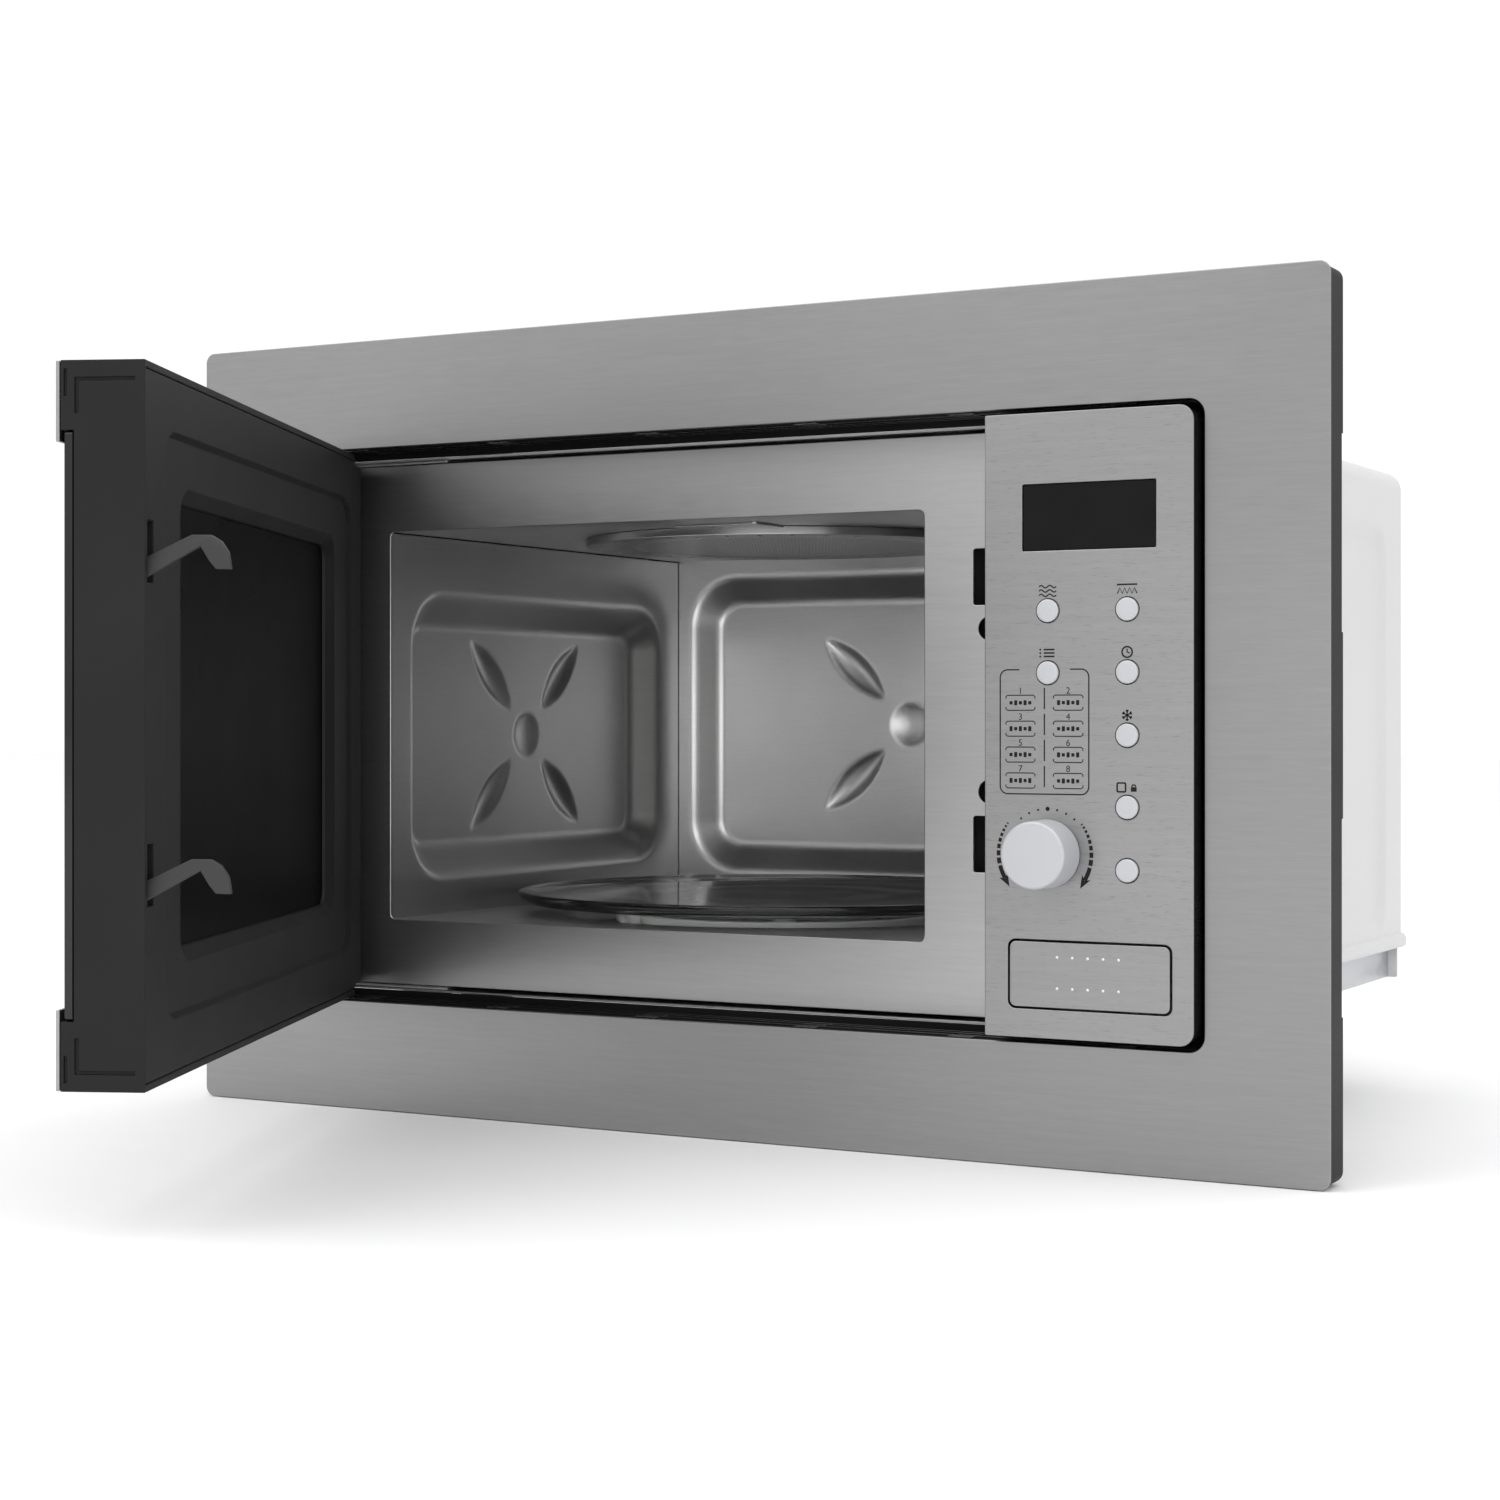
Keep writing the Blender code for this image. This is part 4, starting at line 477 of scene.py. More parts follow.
LEDGE_OUT, LEDGE_THICK = 0.9, 1.1
ledges = []
for depth in (9.5, 17.5, 23.6):
    for sz in (-1, 1):
        face = sz * (OPENING_HALF[1] + 0.5)
        ledges.append(block((-232.0, 236.0), (depth, depth + LEDGE_THICK), (face + sz * 0.4, face - sz * LEDGE_OUT)))
for sx in (-1, 1):
    face = sx * (OPENING_HALF[0] + 0.5)
    for depth in (11.0, 20.5):
        ledges.append(block((face + sx * 0.4, face - sx * LEDGE_OUT), (depth, depth + LEDGE_THICK), (-131.0, 131.0)))
for x in (-205.0, -120.0, -35.0, 50.0, 128.0, 205.0):
    for sz in (-1, 1):
        face = sz * (OPENING_HALF[1] + 0.5)
        ledges.append(block((x - 6.0, x + 6.0), (4.0, 24.0), (face + sz * 0.4, face - sz * LEDGE_OUT * 0.8)))
GLOSSY_BLACK = moulded_plastic("glossy_black_plastic", (0.012, 0.012, 0.013), 0.12, 0.05)
piece("surround_ledges", softened(joined(*ledges), 0.25), GLOSSY_BLACK)

# ------------------------------------------------------------------ front plate
# A brushed steel plate welded to the cavity's mouth. The door seals against it; it is pierced for the two
# latch hooks, the panel's wiring and the release rod, and has two round locating holes beside the hooks.
CAVITY_X, CAVITY_Y, CAVITY_Z = (-200.4, 99.9), (30.5, 331.5), (-100.0, 99.4)
ROD_SPOT = (163.0, -100.0)
plate_steel = brushed_steel("plate_brushed_steel", 0.53)
plate_holes = [span_rect(CAVITY_X, CAVITY_Z, 3.0, 5), span_rect((124.5, 143.5), (54.9, 80.6), 0.8, 3),
               span_rect((124.5, 143.5), (-67.1, -41.4), 0.8, 3), span_rect((172.0, 224.0), (-30.0, 95.0), 4.0, 4),
               circle(ROD_SPOT, 4.5, 24)]
LOCATING_SPOTS, LOCATING_R = [(132.6, 44.1), (132.6, -30.3)], 5.6
plate_holes += [circle(spot, LOCATING_R) for spot in LOCATING_SPOTS]
front = plate("xz", span_rect((-238.0, 238.0), (-133.2, 133.2), 1.5, 3), (29.0, 30.2), plate_holes)
piece("cavity_front_plate", softened(front, 0.4, 3, 22.0), plate_steel, stands_for="front_plate")


# ------------------------------------------------------------------ cavity
# The oven cavity is spot welded from pressed sheets with a satin finish. Its left and back walls have a sunk
# panel with round corners, stiffened by four slanting lens-shaped dimples round a round one.
def satin_steel(name, tone, mottle=0.12):
    """Satin rolled steel: a fine upright and level grain with a soft mottle."""
    steel = Finish(name, {"Metallic": 0.94, "IOR": 1.8})
    speck = steel.noise((0.9, 0.9, 0.6), 3.0, 0.65)
    grain = steel.noise((14.0, 14.0, 0.7), 2.0, 0.6)
    cloud = steel.noise((55.0, 55.0, 55.0), 2.0)
    share = steel.fit(speck * 0.45 + grain * 0.35 + cloud * mottle * 3, 0.3, 0.95)
    steel.feed(colour=steel.colours(share, (tone * 0.84,) * 3, (tone * 1.14,) * 3),
               rough=steel.fit(speck + grain, 0.6, 1.4, 0.28, 0.38))
    steel.relief(speck + grain, 0.02, 0.3)
    return steel.material


def ramp_depth(share, soft=0.16):
    """0 before the slope and 1 after it, with round turns at both ends."""
    if share <= -soft:
        return 0.0
    if share < soft:
        return (share + soft) ** 2 / (4 * soft)
    if share <= 1 - soft:
        return share
    if share < 1 + soft:
        return 1 - (1 + soft - share) ** 2 / (4 * soft)
    return 1.0


def inside_rect(u, v, us, vs, radius):
    """How far a point is inside a rectangle with round corners; below zero is outside."""
    du = abs(u - (us[0] + us[1]) / 2) - (us[1] - us[0]) / 2 + radius
    dv = abs(v - (vs[0] + vs[1]) / 2) - (vs[1] - vs[0]) / 2 + radius
    return radius - math.hypot(max(du, 0.0), max(dv, 0.0)) - min(max(du, dv), 0.0)


LENS_HALF, LENS_WIDE, LENS_OUT, BUTTON_DIMPLE = 27.0, 8.0, (36.0, 33.0), 12.5
LENS_DEEP, BUTTON_DEEP, DIMPLE_SWELL = 3.4, 2.4, 0.8


def dimple_depth(u, v):
    """The five dimples, about the panel's middle."""
    deep = BUTTON_DEEP * max(0.0, 1 - (math.hypot(u, v) / BUTTON_DIMPLE) ** 2) ** DIMPLE_SWELL
    for su in (-1, 1):
        for sv in (-1, 1):
            lean = math.atan2(sv * LENS_OUT[1], su * LENS_OUT[0])
            du, dv = u - su * LENS_OUT[0], v - sv * LENS_OUT[1]
            along = du * math.cos(lean) + dv * math.sin(lean)
            beside = -du * math.sin(lean) + dv * math.cos(lean)
            reach = 1 - (along / LENS_HALF) ** 2
            if reach > 0:
                deep += LENS_DEEP * reach * max(0.0, 1 - (beside / (LENS_WIDE * reach)) ** 2) ** DIMPLE_SWELL
    return deep


def pressed_sheet(us, vs, grain, point, depth, thickness=1.0):
    """A wall sheet: a grid over two spans, pressed back by a depth, with its thickness behind it."""
    count = [round((a[1] - a[0]) / grain) for a in (us, vs)]
    bm = bmesh.new()
    rows = []
    for i in range(count[0] + 1):
        u = us[0] + (us[1] - us[0]) * i / count[0]
        line = [vs[0] + (vs[1] - vs[0]) * j / count[1] for j in range(count[1] + 1)]
        rows.append([bm.verts.new(point(u, v, depth(u, v))) for v in line])
    for row, following in zip(rows, rows[1:]):
        for j in range(count[1]):
            bm.faces.new((row[j], following[j], following[j + 1], row[j + 1]))
    inward = Vector(point(us[0], vs[0], 0.0)) - Vector(point(us[0], vs[0], 1.0))
    bm.normal_update()
    if sum(f.normal.dot(inward) for f in bm.faces) < 0:
        bmesh.ops.reverse_faces(bm, faces=bm.faces)
    mesh = bpy.data.meshes.new("pressed")
    bm.to_mesh(mesh)
    bm.free()
    return smooth(worked(mesh, ("SOLIDIFY", {"thickness": thickness, "offset": -1.0, "use_even_offset": False})))


SIDE_PRESS, BACK_PRESS = ((49.5, 309.0), (-80.0, 68.5)), ((-190.8, 90.3), (-88.0, 88.5))
CAVITY_STEEL = satin_steel("cavity_satin_steel", 0.47)


def side_depth(y, z):
    """How far the left wall is pressed out at a point."""
    deep = ramp_depth(inside_rect(y, z, *SIDE_PRESS, 27.0) / 15.5)
    return 14.0 * deep + (dimple_depth(y - 180.0, z + 5.5) if deep >= 1.0 else 0.0)


def back_depth(x, z):
    """How far the back wall is pressed out at a point."""
    deep = ramp_depth(inside_rect(x, z, *BACK_PRESS, 30.0) / 14.5)
    return 12.0 * deep + (dimple_depth(x + 50.0, z) if deep >= 1.0 else 0.0)


SEAM, WALL_GRAIN, FLOOR_GRAIN = 0.7, 1.7, 2.3
left_wall = pressed_sheet((CAVITY_Y[0], CAVITY_Y[1] - SEAM), (CAVITY_Z[0], CAVITY_Z[1] - SEAM), WALL_GRAIN,
                          lambda y, z, d: (CAVITY_X[0] - d, y, z), side_depth)
back_wall = pressed_sheet(CAVITY_X, CAVITY_Z, WALL_GRAIN, lambda x, z, d: (x, CAVITY_Y[1] + d, z), back_depth)
piece("cavity_left_wall", left_wall, CAVITY_STEEL, stands_for="cavity_shell")
piece("cavity_back_wall", back_wall, CAVITY_STEEL)

TURN_X, TURN_Y = -50.25, 180.25
DISH_R, DISH_DEEP = 118.0, 9.0


def floor_depth(x, y):
    """How far the floor is dished at a point."""
    return DISH_DEEP * ramp_depth((DISH_R - math.hypot(x - TURN_X, y - TURN_Y)) / 7.0)


cavity_floor = pressed_sheet(CAVITY_X, CAVITY_Y, FLOOR_GRAIN, lambda x, y, d: (x, y, CAVITY_Z[0] - d), floor_depth)
spindle_hole = plate("xy", circle((TURN_X, TURN_Y), 8.0), (-125.0, -100.0))
piece("cavity_floor", smooth(carved(cavity_floor, cut=[spindle_hole])), CAVITY_STEEL)
ceiling = plate("xy", span_rect(CAVITY_X, CAVITY_Y), (CAVITY_Z[1], CAVITY_Z[1] + 1.0),
                [circle((TURN_X, TURN_Y), 96.0, 96)])
right_wall = plate("yz", span_rect(CAVITY_Y, CAVITY_Z), (CAVITY_X[1], CAVITY_X[1] + 1.0),
                   [span_rect((135.0, 195.0), (-10.0, 40.0), 2.0, 3)])
piece("cavity_ceiling", softened(ceiling, 0.25), CAVITY_STEEL)
piece("cavity_right_wall", softened(right_wall, 0.25), CAVITY_STEEL)
pad = plate("xy", span_rect((-50.0, -2.0), (57.0, 111.0), 3.0, 4), (98.2, 99.6))
piece("ceiling_pad", softened(pad, 0.5), CAVITY_STEEL)


# ------------------------------------------------------------------ outer cabinet
# One sheet of white painted steel is folded over the top and down both sides. Each side has a sunk panel with
# round corners and a rolled bead along its lower edge.
def painted_steel(name, colour, gloss=0.4):
    """Powder paint on sheet steel, with a faint orange peel."""
    paint = Finish(name, {"IOR": 1.5})
    peel = paint.noise((2.4, 2.4, 2.4), 2.0)
    drift = paint.noise((140.0, 140.0, 140.0), 2.0)
    paint.feed(colour=paint.colours(paint.fit(drift, 0.3, 0.7), tuple(c * 0.965 for c in colour), colour),
               rough=paint.fit(peel, 0.3, 0.7, gloss - 0.04, gloss + 0.05))
    paint.relief(peel, 0.06, 0.3)
    return paint.material


def copy_of(node):
    """A merged copy of one of the part's own solids, in the oven's frame."""
    bm = bmesh.new()
    bm.from_mesh(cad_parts[node].data)
    bm.transform(OVEN.inverted())
    bmesh.ops.remove_doubles(bm, verts=bm.verts, dist=1e-3)
    mesh = bpy.data.meshes.new("copy")
    bm.to_mesh(mesh)
    bm.free()
    return mesh


WHITE_PAINT = painted_steel("white_cabinet_paint", (0.64, 0.64, 0.645))
CAB_X, CAB_TOP, CAB_CORNER = 235.5, 136.5, 10.0
SIDE_Y, SIDE_Z = (30.5, 354.0), (-112.0, CAB_TOP - CAB_CORNER)
SUNK_Y, SUNK_Z, SUNK_R, SUNK_DEEP, SUNK_SLOPE = (64.0, 322.0), (-109.0, 104.0), 16.0, 3.0, 5.0
GRID = 3.2
row_count = round((SIDE_Y[1] - SIDE_Y[0]) / GRID)
side_rows = [SIDE_Y[0] + (SIDE_Y[1] - SIDE_Y[0]) * i / row_count for i in range(row_count + 1)]
cabinet_line = [(-CAB_X, -120.0), (-CAB_X - 2.0, -119.6), (-CAB_X - 2.9, -118.4), (-CAB_X - 2.9, -114.8),
                (-CAB_X - 2.0, -113.0)]
side_steps = round((SIDE_Z[1] - SIDE_Z[0]) / GRID)
cabinet_line += [(-CAB_X, SIDE_Z[0] + (SIDE_Z[1] - SIDE_Z[0]) * i / side_steps) for i in range(side_steps)]
for step in range(13):
    turn = math.pi - math.pi / 2 * step / 12
    cabinet_line.append((-CAB_X + CAB_CORNER + CAB_CORNER * math.cos(turn),
                         CAB_TOP - CAB_CORNER + CAB_CORNER * math.sin(turn)))
cabinet_line += [(-x, z) for x, z in reversed(cabinet_line)]


def cabinet_point(x, y, z):
    """A point of the cabinet's skin, pressed in where it lies in a side panel."""
    if abs(x) > CAB_X - 0.01 and SIDE_Z[0] <= z <= SIDE_Z[1]:
        x -= math.copysign(SUNK_DEEP * ramp_depth(inside_rect(y, z, SUNK_Y, SUNK_Z, SUNK_R) / SUNK_SLOPE), x)
    return x, y, z


bm = bmesh.new()
skin_rows = [[bm.verts.new(cabinet_point(x, y, z)) for x, z in cabinet_line] for y in side_rows]
for row, following in zip(skin_rows, skin_rows[1:]):
    for j in range(len(row) - 1):
        bm.faces.new((row[j], row[j + 1], following[j + 1], following[j]))
bm.normal_update()
if sum(f.normal.z for f in bm.faces if f.calc_center_median().z > CAB_TOP - 1) < 0:
    bmesh.ops.reverse_faces(bm, faces=bm.faces)
cabinet_skin = bpy.data.meshes.new("cabinet_skin")
bm.to_mesh(cabinet_skin)
bm.free()
cabinet_skin = smooth(worked(cabinet_skin, ("SOLIDIFY", {"thickness": 1.2, "offset": -1.0})), 50.0)
piece("cabinet_wrap", cabinet_skin, WHITE_PAINT, stands_for="outer_wrapper")


# ------------------------------------------------------------------ base, rear panel, screws
# The floor tray is plated steel. The rear panel is painted like the cabinet and pierced with cooling slots.
# Pan-head screws with a cross recess hold the rear panel.
def plated_steel(name, colour, rough=0.38):
    """Zinc-plated sheet with its faint crystal spangle."""
    zinc = Finish(name, {"Metallic": 1.0})
    spangle = zinc.node("ShaderNodeTexVoronoi", sockets={"Vector": zinc.place, "Scale": 0.16}, output="Color")
    shade = zinc.node("ShaderNodeSeparateXYZ", sockets={0: spangle}, output=0)
    fine = zinc.noise((1.2, 1.2, 1.2), 3.0)
    zinc.feed(colour=zinc.colours(shade * 0.5 + fine * 0.5, tuple(c * 0.82 for c in colour), colour),
              rough=zinc.fit(shade + fine, 0.3, 1.6, rough - 0.06, rough + 0.1))
    zinc.relief(fine, 0.02, 0.3)
    return zinc.material


def spread_tree():
    """Puts one unit on every point, turned to the point's own direction and loosely about it."""
    tree = bpy.data.node_groups.new("spread_of_like_pieces", "GeometryNodeTree")
    names = {}
    for label, kind in (("Points", "NodeSocketGeometry"), ("Unit", "NodeSocketObject"), ("Size", "NodeSocketFloat"),
                        ("Loose turn", "NodeSocketFloat"), ("Seed", "NodeSocketInt"),
                        ("Finish", "NodeSocketMaterial")):
        names[label] = tree.interface.new_socket(label, in_out="INPUT", socket_type=kind).identifier
    tree.interface.new_socket("Result", in_out="OUTPUT", socket_type="NodeSocketGeometry")

    def add(kind, **links):
        made = tree.nodes.new(kind)
        for label, source in links.items():
            tree.links.new(source, made.inputs[label.replace("_", " ")])
        return made

    given = add("NodeGroupInput").outputs
    unit = add("GeometryNodeObjectInfo", Object=given["Unit"])
    aimed = add("GeometryNodeInputNamedAttribute")
    aimed.data_type = "FLOAT_VECTOR"
    aimed.inputs["Name"].default_value = "aim"
    facing = add("FunctionNodeAlignRotationToVector", Vector=aimed.outputs["Attribute"])
    facing.axis = "Z"
    chance = add("FunctionNodeRandomValue", Seed=given["Seed"])
    chance.data_type = "FLOAT"
    tree.links.new(given["Loose turn"], [s for s in chance.inputs if s.name == "Max" and s.enabled][0])
    share = [s for s in chance.outputs if s.enabled][0]
    twist = add("FunctionNodeAxisAngleToRotation", Angle=share)
    twist.inputs["Axis"].default_value = (0.0, 0.0, 1.0)
    turned_unit = add("FunctionNodeRotateRotation", Rotation=facing.outputs[0], Rotate_By=twist.outputs[0])
    turned_unit.rotation_space = "LOCAL"
    placed = add("GeometryNodeInstanceOnPoints", Points=given["Points"], Instance=unit.outputs["Geometry"],
                 Rotation=turned_unit.outputs[0], Scale=given["Size"])
    real = add("GeometryNodeRealizeInstances", Geometry=placed.outputs[0])
    painted = add("GeometryNodeSetMaterial", Geometry=real.outputs[0], Material=given["Finish"])
    add("NodeGroupOutput", Result=painted.outputs[0])
    return tree, names


SPREAD, SPREAD_NAMES = spread_tree()


def spread(unit, spots, finish, size=1.0, loose=0.0, seed=3):
    """Like pieces on many spots, each a place and the way its own Z looks, as one plain mesh."""
    points = bpy.data.meshes.new("spots")
    points.from_pydata([spot for spot, _ in spots], [], [])
    ways = points.attributes.new("aim", "FLOAT_VECTOR", "POINT")
    for target, (_, way) in zip(ways.data, spots):
        target.vector = way
    model = bpy.data.objects.new("unit", unit)
    SHOT.collection.objects.link(model)
    host = bpy.data.objects.new("spread", points)
    maker = host.modifiers.new("spread", "NODES")
    maker.node_group = SPREAD
    for label, value in (("Unit", model), ("Size", size), ("Loose turn", loose), ("Seed", seed), ("Finish", finish)):
        maker[SPREAD_NAMES[label]] = value
    result = worked(host)
    bpy.data.objects.remove(model, do_unlink=True)
    return result


def turned(profile, centre=(0, 0, 0), axis="Z", sides=64):
    """A profile of radius and height points, turned about an axis; it ends on the axis or closes on itself."""
    closed = min(r for r, _ in profile) > 0
    bm = bmesh.new()
    rings = []
    for radius, height in profile:
        if radius <= 0:
            rings.append([bm.verts.new((0.0, 0.0, height))] * sides)
        else:
            rings.append([bm.verts.new((u, v, height)) for u, v in circle((0.0, 0.0), radius, sides)])
    for low, high in zip(rings, rings[1:] + rings[:1] if closed else rings[1:]):
        for i in range(sides):
            j = (i + 1) % sides
            corners = list(dict.fromkeys((low[i], low[j], high[j], high[i])))
            bm.faces.new(corners)
    way = {"Z": Matrix(), "Y": Matrix.Rotation(-math.pi / 2, 4, "X"), "X": Matrix.Rotation(math.pi / 2, 4, "Y")}
    bm.transform(Matrix.Translation(centre) @ way[axis])
    return free(bm)


def eased(points, radius, steps=4, closed=False):
    """A line with its corners rounded off."""
    result = []
    count = len(points)
    for i, point in enumerate(points):
        here = Vector(point)
        if not closed and i in (0, count - 1):
            result.append(tuple(here))
            continue
        before, after = Vector(points[i - 1]), Vector(points[(i + 1) % count])
        start = here + (before - here).normalized() * min(radius, (before - here).length * 0.45)
        end = here + (after - here).normalized() * min(radius, (after - here).length * 0.45)
        for step in range(steps + 1):
            t = step / steps
            result.append(tuple(start * (1 - t) ** 2 + here * 2 * t * (1 - t) + end * t * t))
    return result


ZINC = plated_steel("plated_steel", (0.62, 0.63, 0.65))
SCREW_STEEL = plated_steel("screw_plating", (0.55, 0.55, 0.56), 0.3)
screw = turned(eased([(0.0, 1.6), (2.2, 1.5), (3.4, 0.9), (3.6, 0.0), (0.0, -0.4)], 0.5, 3), sides=24)
cross = joined(block((-2.0, 2.0), (-0.45, 0.45), (0.7, 3.0)), block((-0.45, 0.45), (-2.0, 2.0), (0.7, 3.0)))
screw = smooth(carved(screw, cut=[cross]), 30.0)
BACK_Y = 353.2
screw_spots = [((x, BACK_Y, z), (0, 1, 0)) for x, z in ((-225, 125), (0, 130), (225, 125), (-225, -125), (225, -125),
                                                        (-75, -128), (75, -128), (-228, 0), (228, 0))]
cabinet_screws = spread(screw, screw_spots, SCREW_STEEL, loose=3.0, seed=11)
piece("cabinet_screws", cabinet_screws, SCREW_STEEL)
piece("floor_tray", softened(copy_of("base_plate"), 0.35), ZINC, stands_for="base_plate")
piece("slotted_rear_panel", softened(copy_of("rear_panel"), 0.25, 2, 50.0), WHITE_PAINT,
      stands_for="rear_panel")

# ------------------------------------------------------------------ feet and cord gland
# Moulded rubber feet with a stepped rim and a hollow for their screw. The gland is a moulded sleeve that grips
# the supply cord where it leaves the rear panel.
RUBBER = moulded_plastic("grey_rubber", (0.10, 0.10, 0.102), 0.72, 1.0)
foot_line = eased([(0.0, -136.9), (15.0, -136.9), (15.0, -139.2), (13.6, -139.6), (12.2, -143.2), (5.0, -143.2),
                   (4.4, -140.6), (0.0, -140.6)], 0.6, 3)
for name, x, y in (("foot_front_left", -205.0, 70.0), ("foot_front_right", 205.0, 70.0),
                   ("foot_rear_left", -205.0, 275.0), ("foot_rear_right", 205.0, 275.0)):
    piece(name + "_rubber", smooth(turned(foot_line, (x, y, 0.0))), RUBBER, stands_for=name)
gland_line = eased([(3.6, -1.0), (3.6, 7.0), (6.4, 7.0), (8.8, 4.6), (8.8, 2.8), (6.9, 2.4), (6.9, -0.9), (9.8, -1.2),
                    (9.8, -5.8), (3.6, -5.8)], 0.4, 2, True)
GLAND_PLASTIC = moulded_plastic("gland_black_plastic", (0.02, 0.02, 0.021), 0.45)
piece("cord_gland_sleeve", smooth(turned(gland_line, (205.0, 352.0, 95.0), "Y", 40)), GLAND_PLASTIC,
      stands_for="cord_gland")

# ------------------------------------------------------------------ hinges
# Two plated steel brackets with a riveted pin each, screwed to the front plate, on which the door swings.
for name in ("upper_hinge", "lower_hinge"):
    piece(name + "_bracket", softened(copy_of(name), 0.25), ZINC, stands_for=name)
rivet = smooth(turned(eased([(0.0, 0.9), (1.8, 0.8), (2.6, 0.0), (0.0, -0.2)], 0.4, 3), sides=20))
rivet_spots = [((x, 38.0, sz * 135.0), (0, 0, sz)) for x in (-212.0, -192.0, -174.0) for sz in (-1, 1)]
rivet_spots += [((-231.0, 4.1, sz * 135.0), (0, 0, sz)) for sz in (-1, 1)]
piece("hinge_rivets", spread(rivet, rivet_spots, SCREW_STEEL, 0.8), SCREW_STEEL)

# ------------------------------------------------------------------ door frame
# One black moulding holds the glass, the screen, the two steel strips and the latch. Its inner side has a
# sunk window with round corners, two slots for the hooks and a parting line near its top and bottom.
DOOR_TURN = math.radians(66.1)
HINGE = Vector((-231.0, 4.1, 0.0))
DOOR = OVEN @ Matrix.Translation(HINGE) @ Matrix.Rotation(-DOOR_TURN, 4, "Z") @ Matrix.Translation(-HINGE)
SWING = {"turn": DOOR_TURN, "about": tuple(HINGE)}
DOOR_X, DOOR_Z, INNER_Y, BORDER_Y, PANE_Y, RAIL_Z = (-240.0, 143.0), 137.5, 27.5, 23.3, 21.8, 111.2
DOOR_MID, DOOR_HALF = (DOOR_X[0] + DOOR_X[1]) / 2, (DOOR_X[1] - DOOR_X[0]) / 2


def door_loop(y, side, end, radius):
    """A loop of the door, this far in from its sides and ends."""
    return y, rounded_rect(DOOR_HALF - side, DOOR_Z - end, radius, (DOOR_MID, 0.0))


door_body = ring_of_loops([
    door_loop(0.0, 0.0, 0.0, 0.0), door_loop(INNER_Y, 0.0, 0.0, 0.0), door_loop(INNER_Y, 24.9, 23.2, 16.0),
    door_loop(25.5, 27.5, 25.4, 14.0), door_loop(25.5, 54.5, 43.5, 12.0), door_loop(PANE_Y, 60.0, 49.0, 8.0),
    door_loop(PANE_Y - 1.5, 60.5, 49.5, 7.0), door_loop(PANE_Y - 1.5, 55.5, 44.5, 9.0),
    door_loop(BORDER_Y, 52.5, 41.5, 10.0), door_loop(BORDER_Y, 3.0, 3.0, 0.0), door_loop(0.0, 3.0, 3.0, 0.0)])


def strip_outline(x, z, up):
    """A rail along the door's edge, with its outer corner at the hinge rounded."""
    points = [(x[1], up * z[0]), (x[1], up * z[1])]
    for step in range(11):
        angle = math.pi / 2 * (1 + step / 10)
        points.append((x[0] + 9.0 + 9.0 * math.cos(angle), up * (z[1] - 9.0 + 9.0 * math.sin(angle))))
    return points + [(x[0], up * z[0])]


def round_bar(start, end, radius, sides=32):
    """A plain round bar between two points."""
    along = Vector(end) - Vector(start)
    bm = bmesh.new()
    bmesh.ops.create_cone(bm, cap_ends=True, segments=sides, radius1=radius, radius2=radius, depth=along.length,
                          matrix=Matrix.LocRotScale((Vector(start) + Vector(end)) / 2,
                                                    along.to_track_quat("Z", "Y"), None))
    return free(bm)


rails, bearings, corners, bores, grooves = [], [], [], [], []
for up in (-1, 1):
    rails.append(plate("xz", strip_outline((-238.0, 143.0), (RAIL_Z, DOOR_Z), up), (-5.1, 1.2)))
    bearings.append(block((-239.0, -221.0), (0.4, 14.1), (up * 118.0, up * 131.2)))
    corners.append(block((-241.0, -223.4), (-3.5, 28.5), (up * 132.1, up * 138.5)))
    bores.append(round_bar((HINGE.x, HINGE.y, up * 120.5), (HINGE.x, HINGE.y, up * 134.5), 3.2))
    grooves.append(block((141.9, 144.0), (0.4, 23.6), (up * 129.6, up * 131.0)))
    grooves.append(block((141.9, 144.0), (0.4, 1.9), (up * 117.4, up * 130.0)))
    grooves.append(block((141.9, 144.0), (-3.8, -2.6), (up * 124.0, up * 134.2)))
    grooves.append(block((-222.0, 142.0), (INNER_Y - 0.7, INNER_Y + 1), (up * 134.1, up * 134.7)))
hook_slots = [block((131.7, 139.8), (20.0, 28.5), (53.9 - drop, 77.5 - drop)) for drop in (0.0, 122.0)]
spring_post = block((132.8, 142.0), (13.0, 19.0), (-128.5, -125.5))
chamfer = plate("xy", [(-241.0, 23.5), (-236.0, 28.5), (-241.0, 28.5)], (-140.0, 140.0))
door_body = carved(door_body, add=[joined(*rails), joined(*bearings), spring_post],
                   cut=[joined(*corners), joined(*bores), joined(*hook_slots), chamfer, *grooves])
DOOR_PLASTIC = moulded_plastic("door_black_plastic", (0.0105, 0.0105, 0.011), 0.50, 0.5, 0.22, **SWING)
piece("door_moulding", softened(door_body, 0.35, 2, 24.0), DOOR_PLASTIC, "door", "door_frame", DOOR)


# ------------------------------------------------------------------ door screen, glass and strips
# Behind the sunk window lies a blackened steel screen with fine round holes, folded forward at its edges.
# The outer glass is tempered black glass; brushed steel strips cover the door's rails above and below it.
def black_glass(name, colour, clear):
    """Toughened glass, printed black behind, with faint wipe marks in its gloss."""
    glass = Finish(name, {"IOR": 1.52}, **SWING)
    smear = glass.noise((60.0, 60.0, 25.0), 3.0)
    inside = (glass.node("ShaderNodeMath", {"operation": "ABSOLUTE"}, {0: glass.axis(0) + 48.7}) < 132.0) * (
        glass.node("ShaderNodeMath", {"operation": "ABSOLUTE"}, {0: glass.axis(2)}) < 88.0)
    glass.feed(colour=glass.colours(inside, colour, clear), rough=glass.fit(smear, 0.3, 0.8, 0.035, 0.09))
    return glass.material


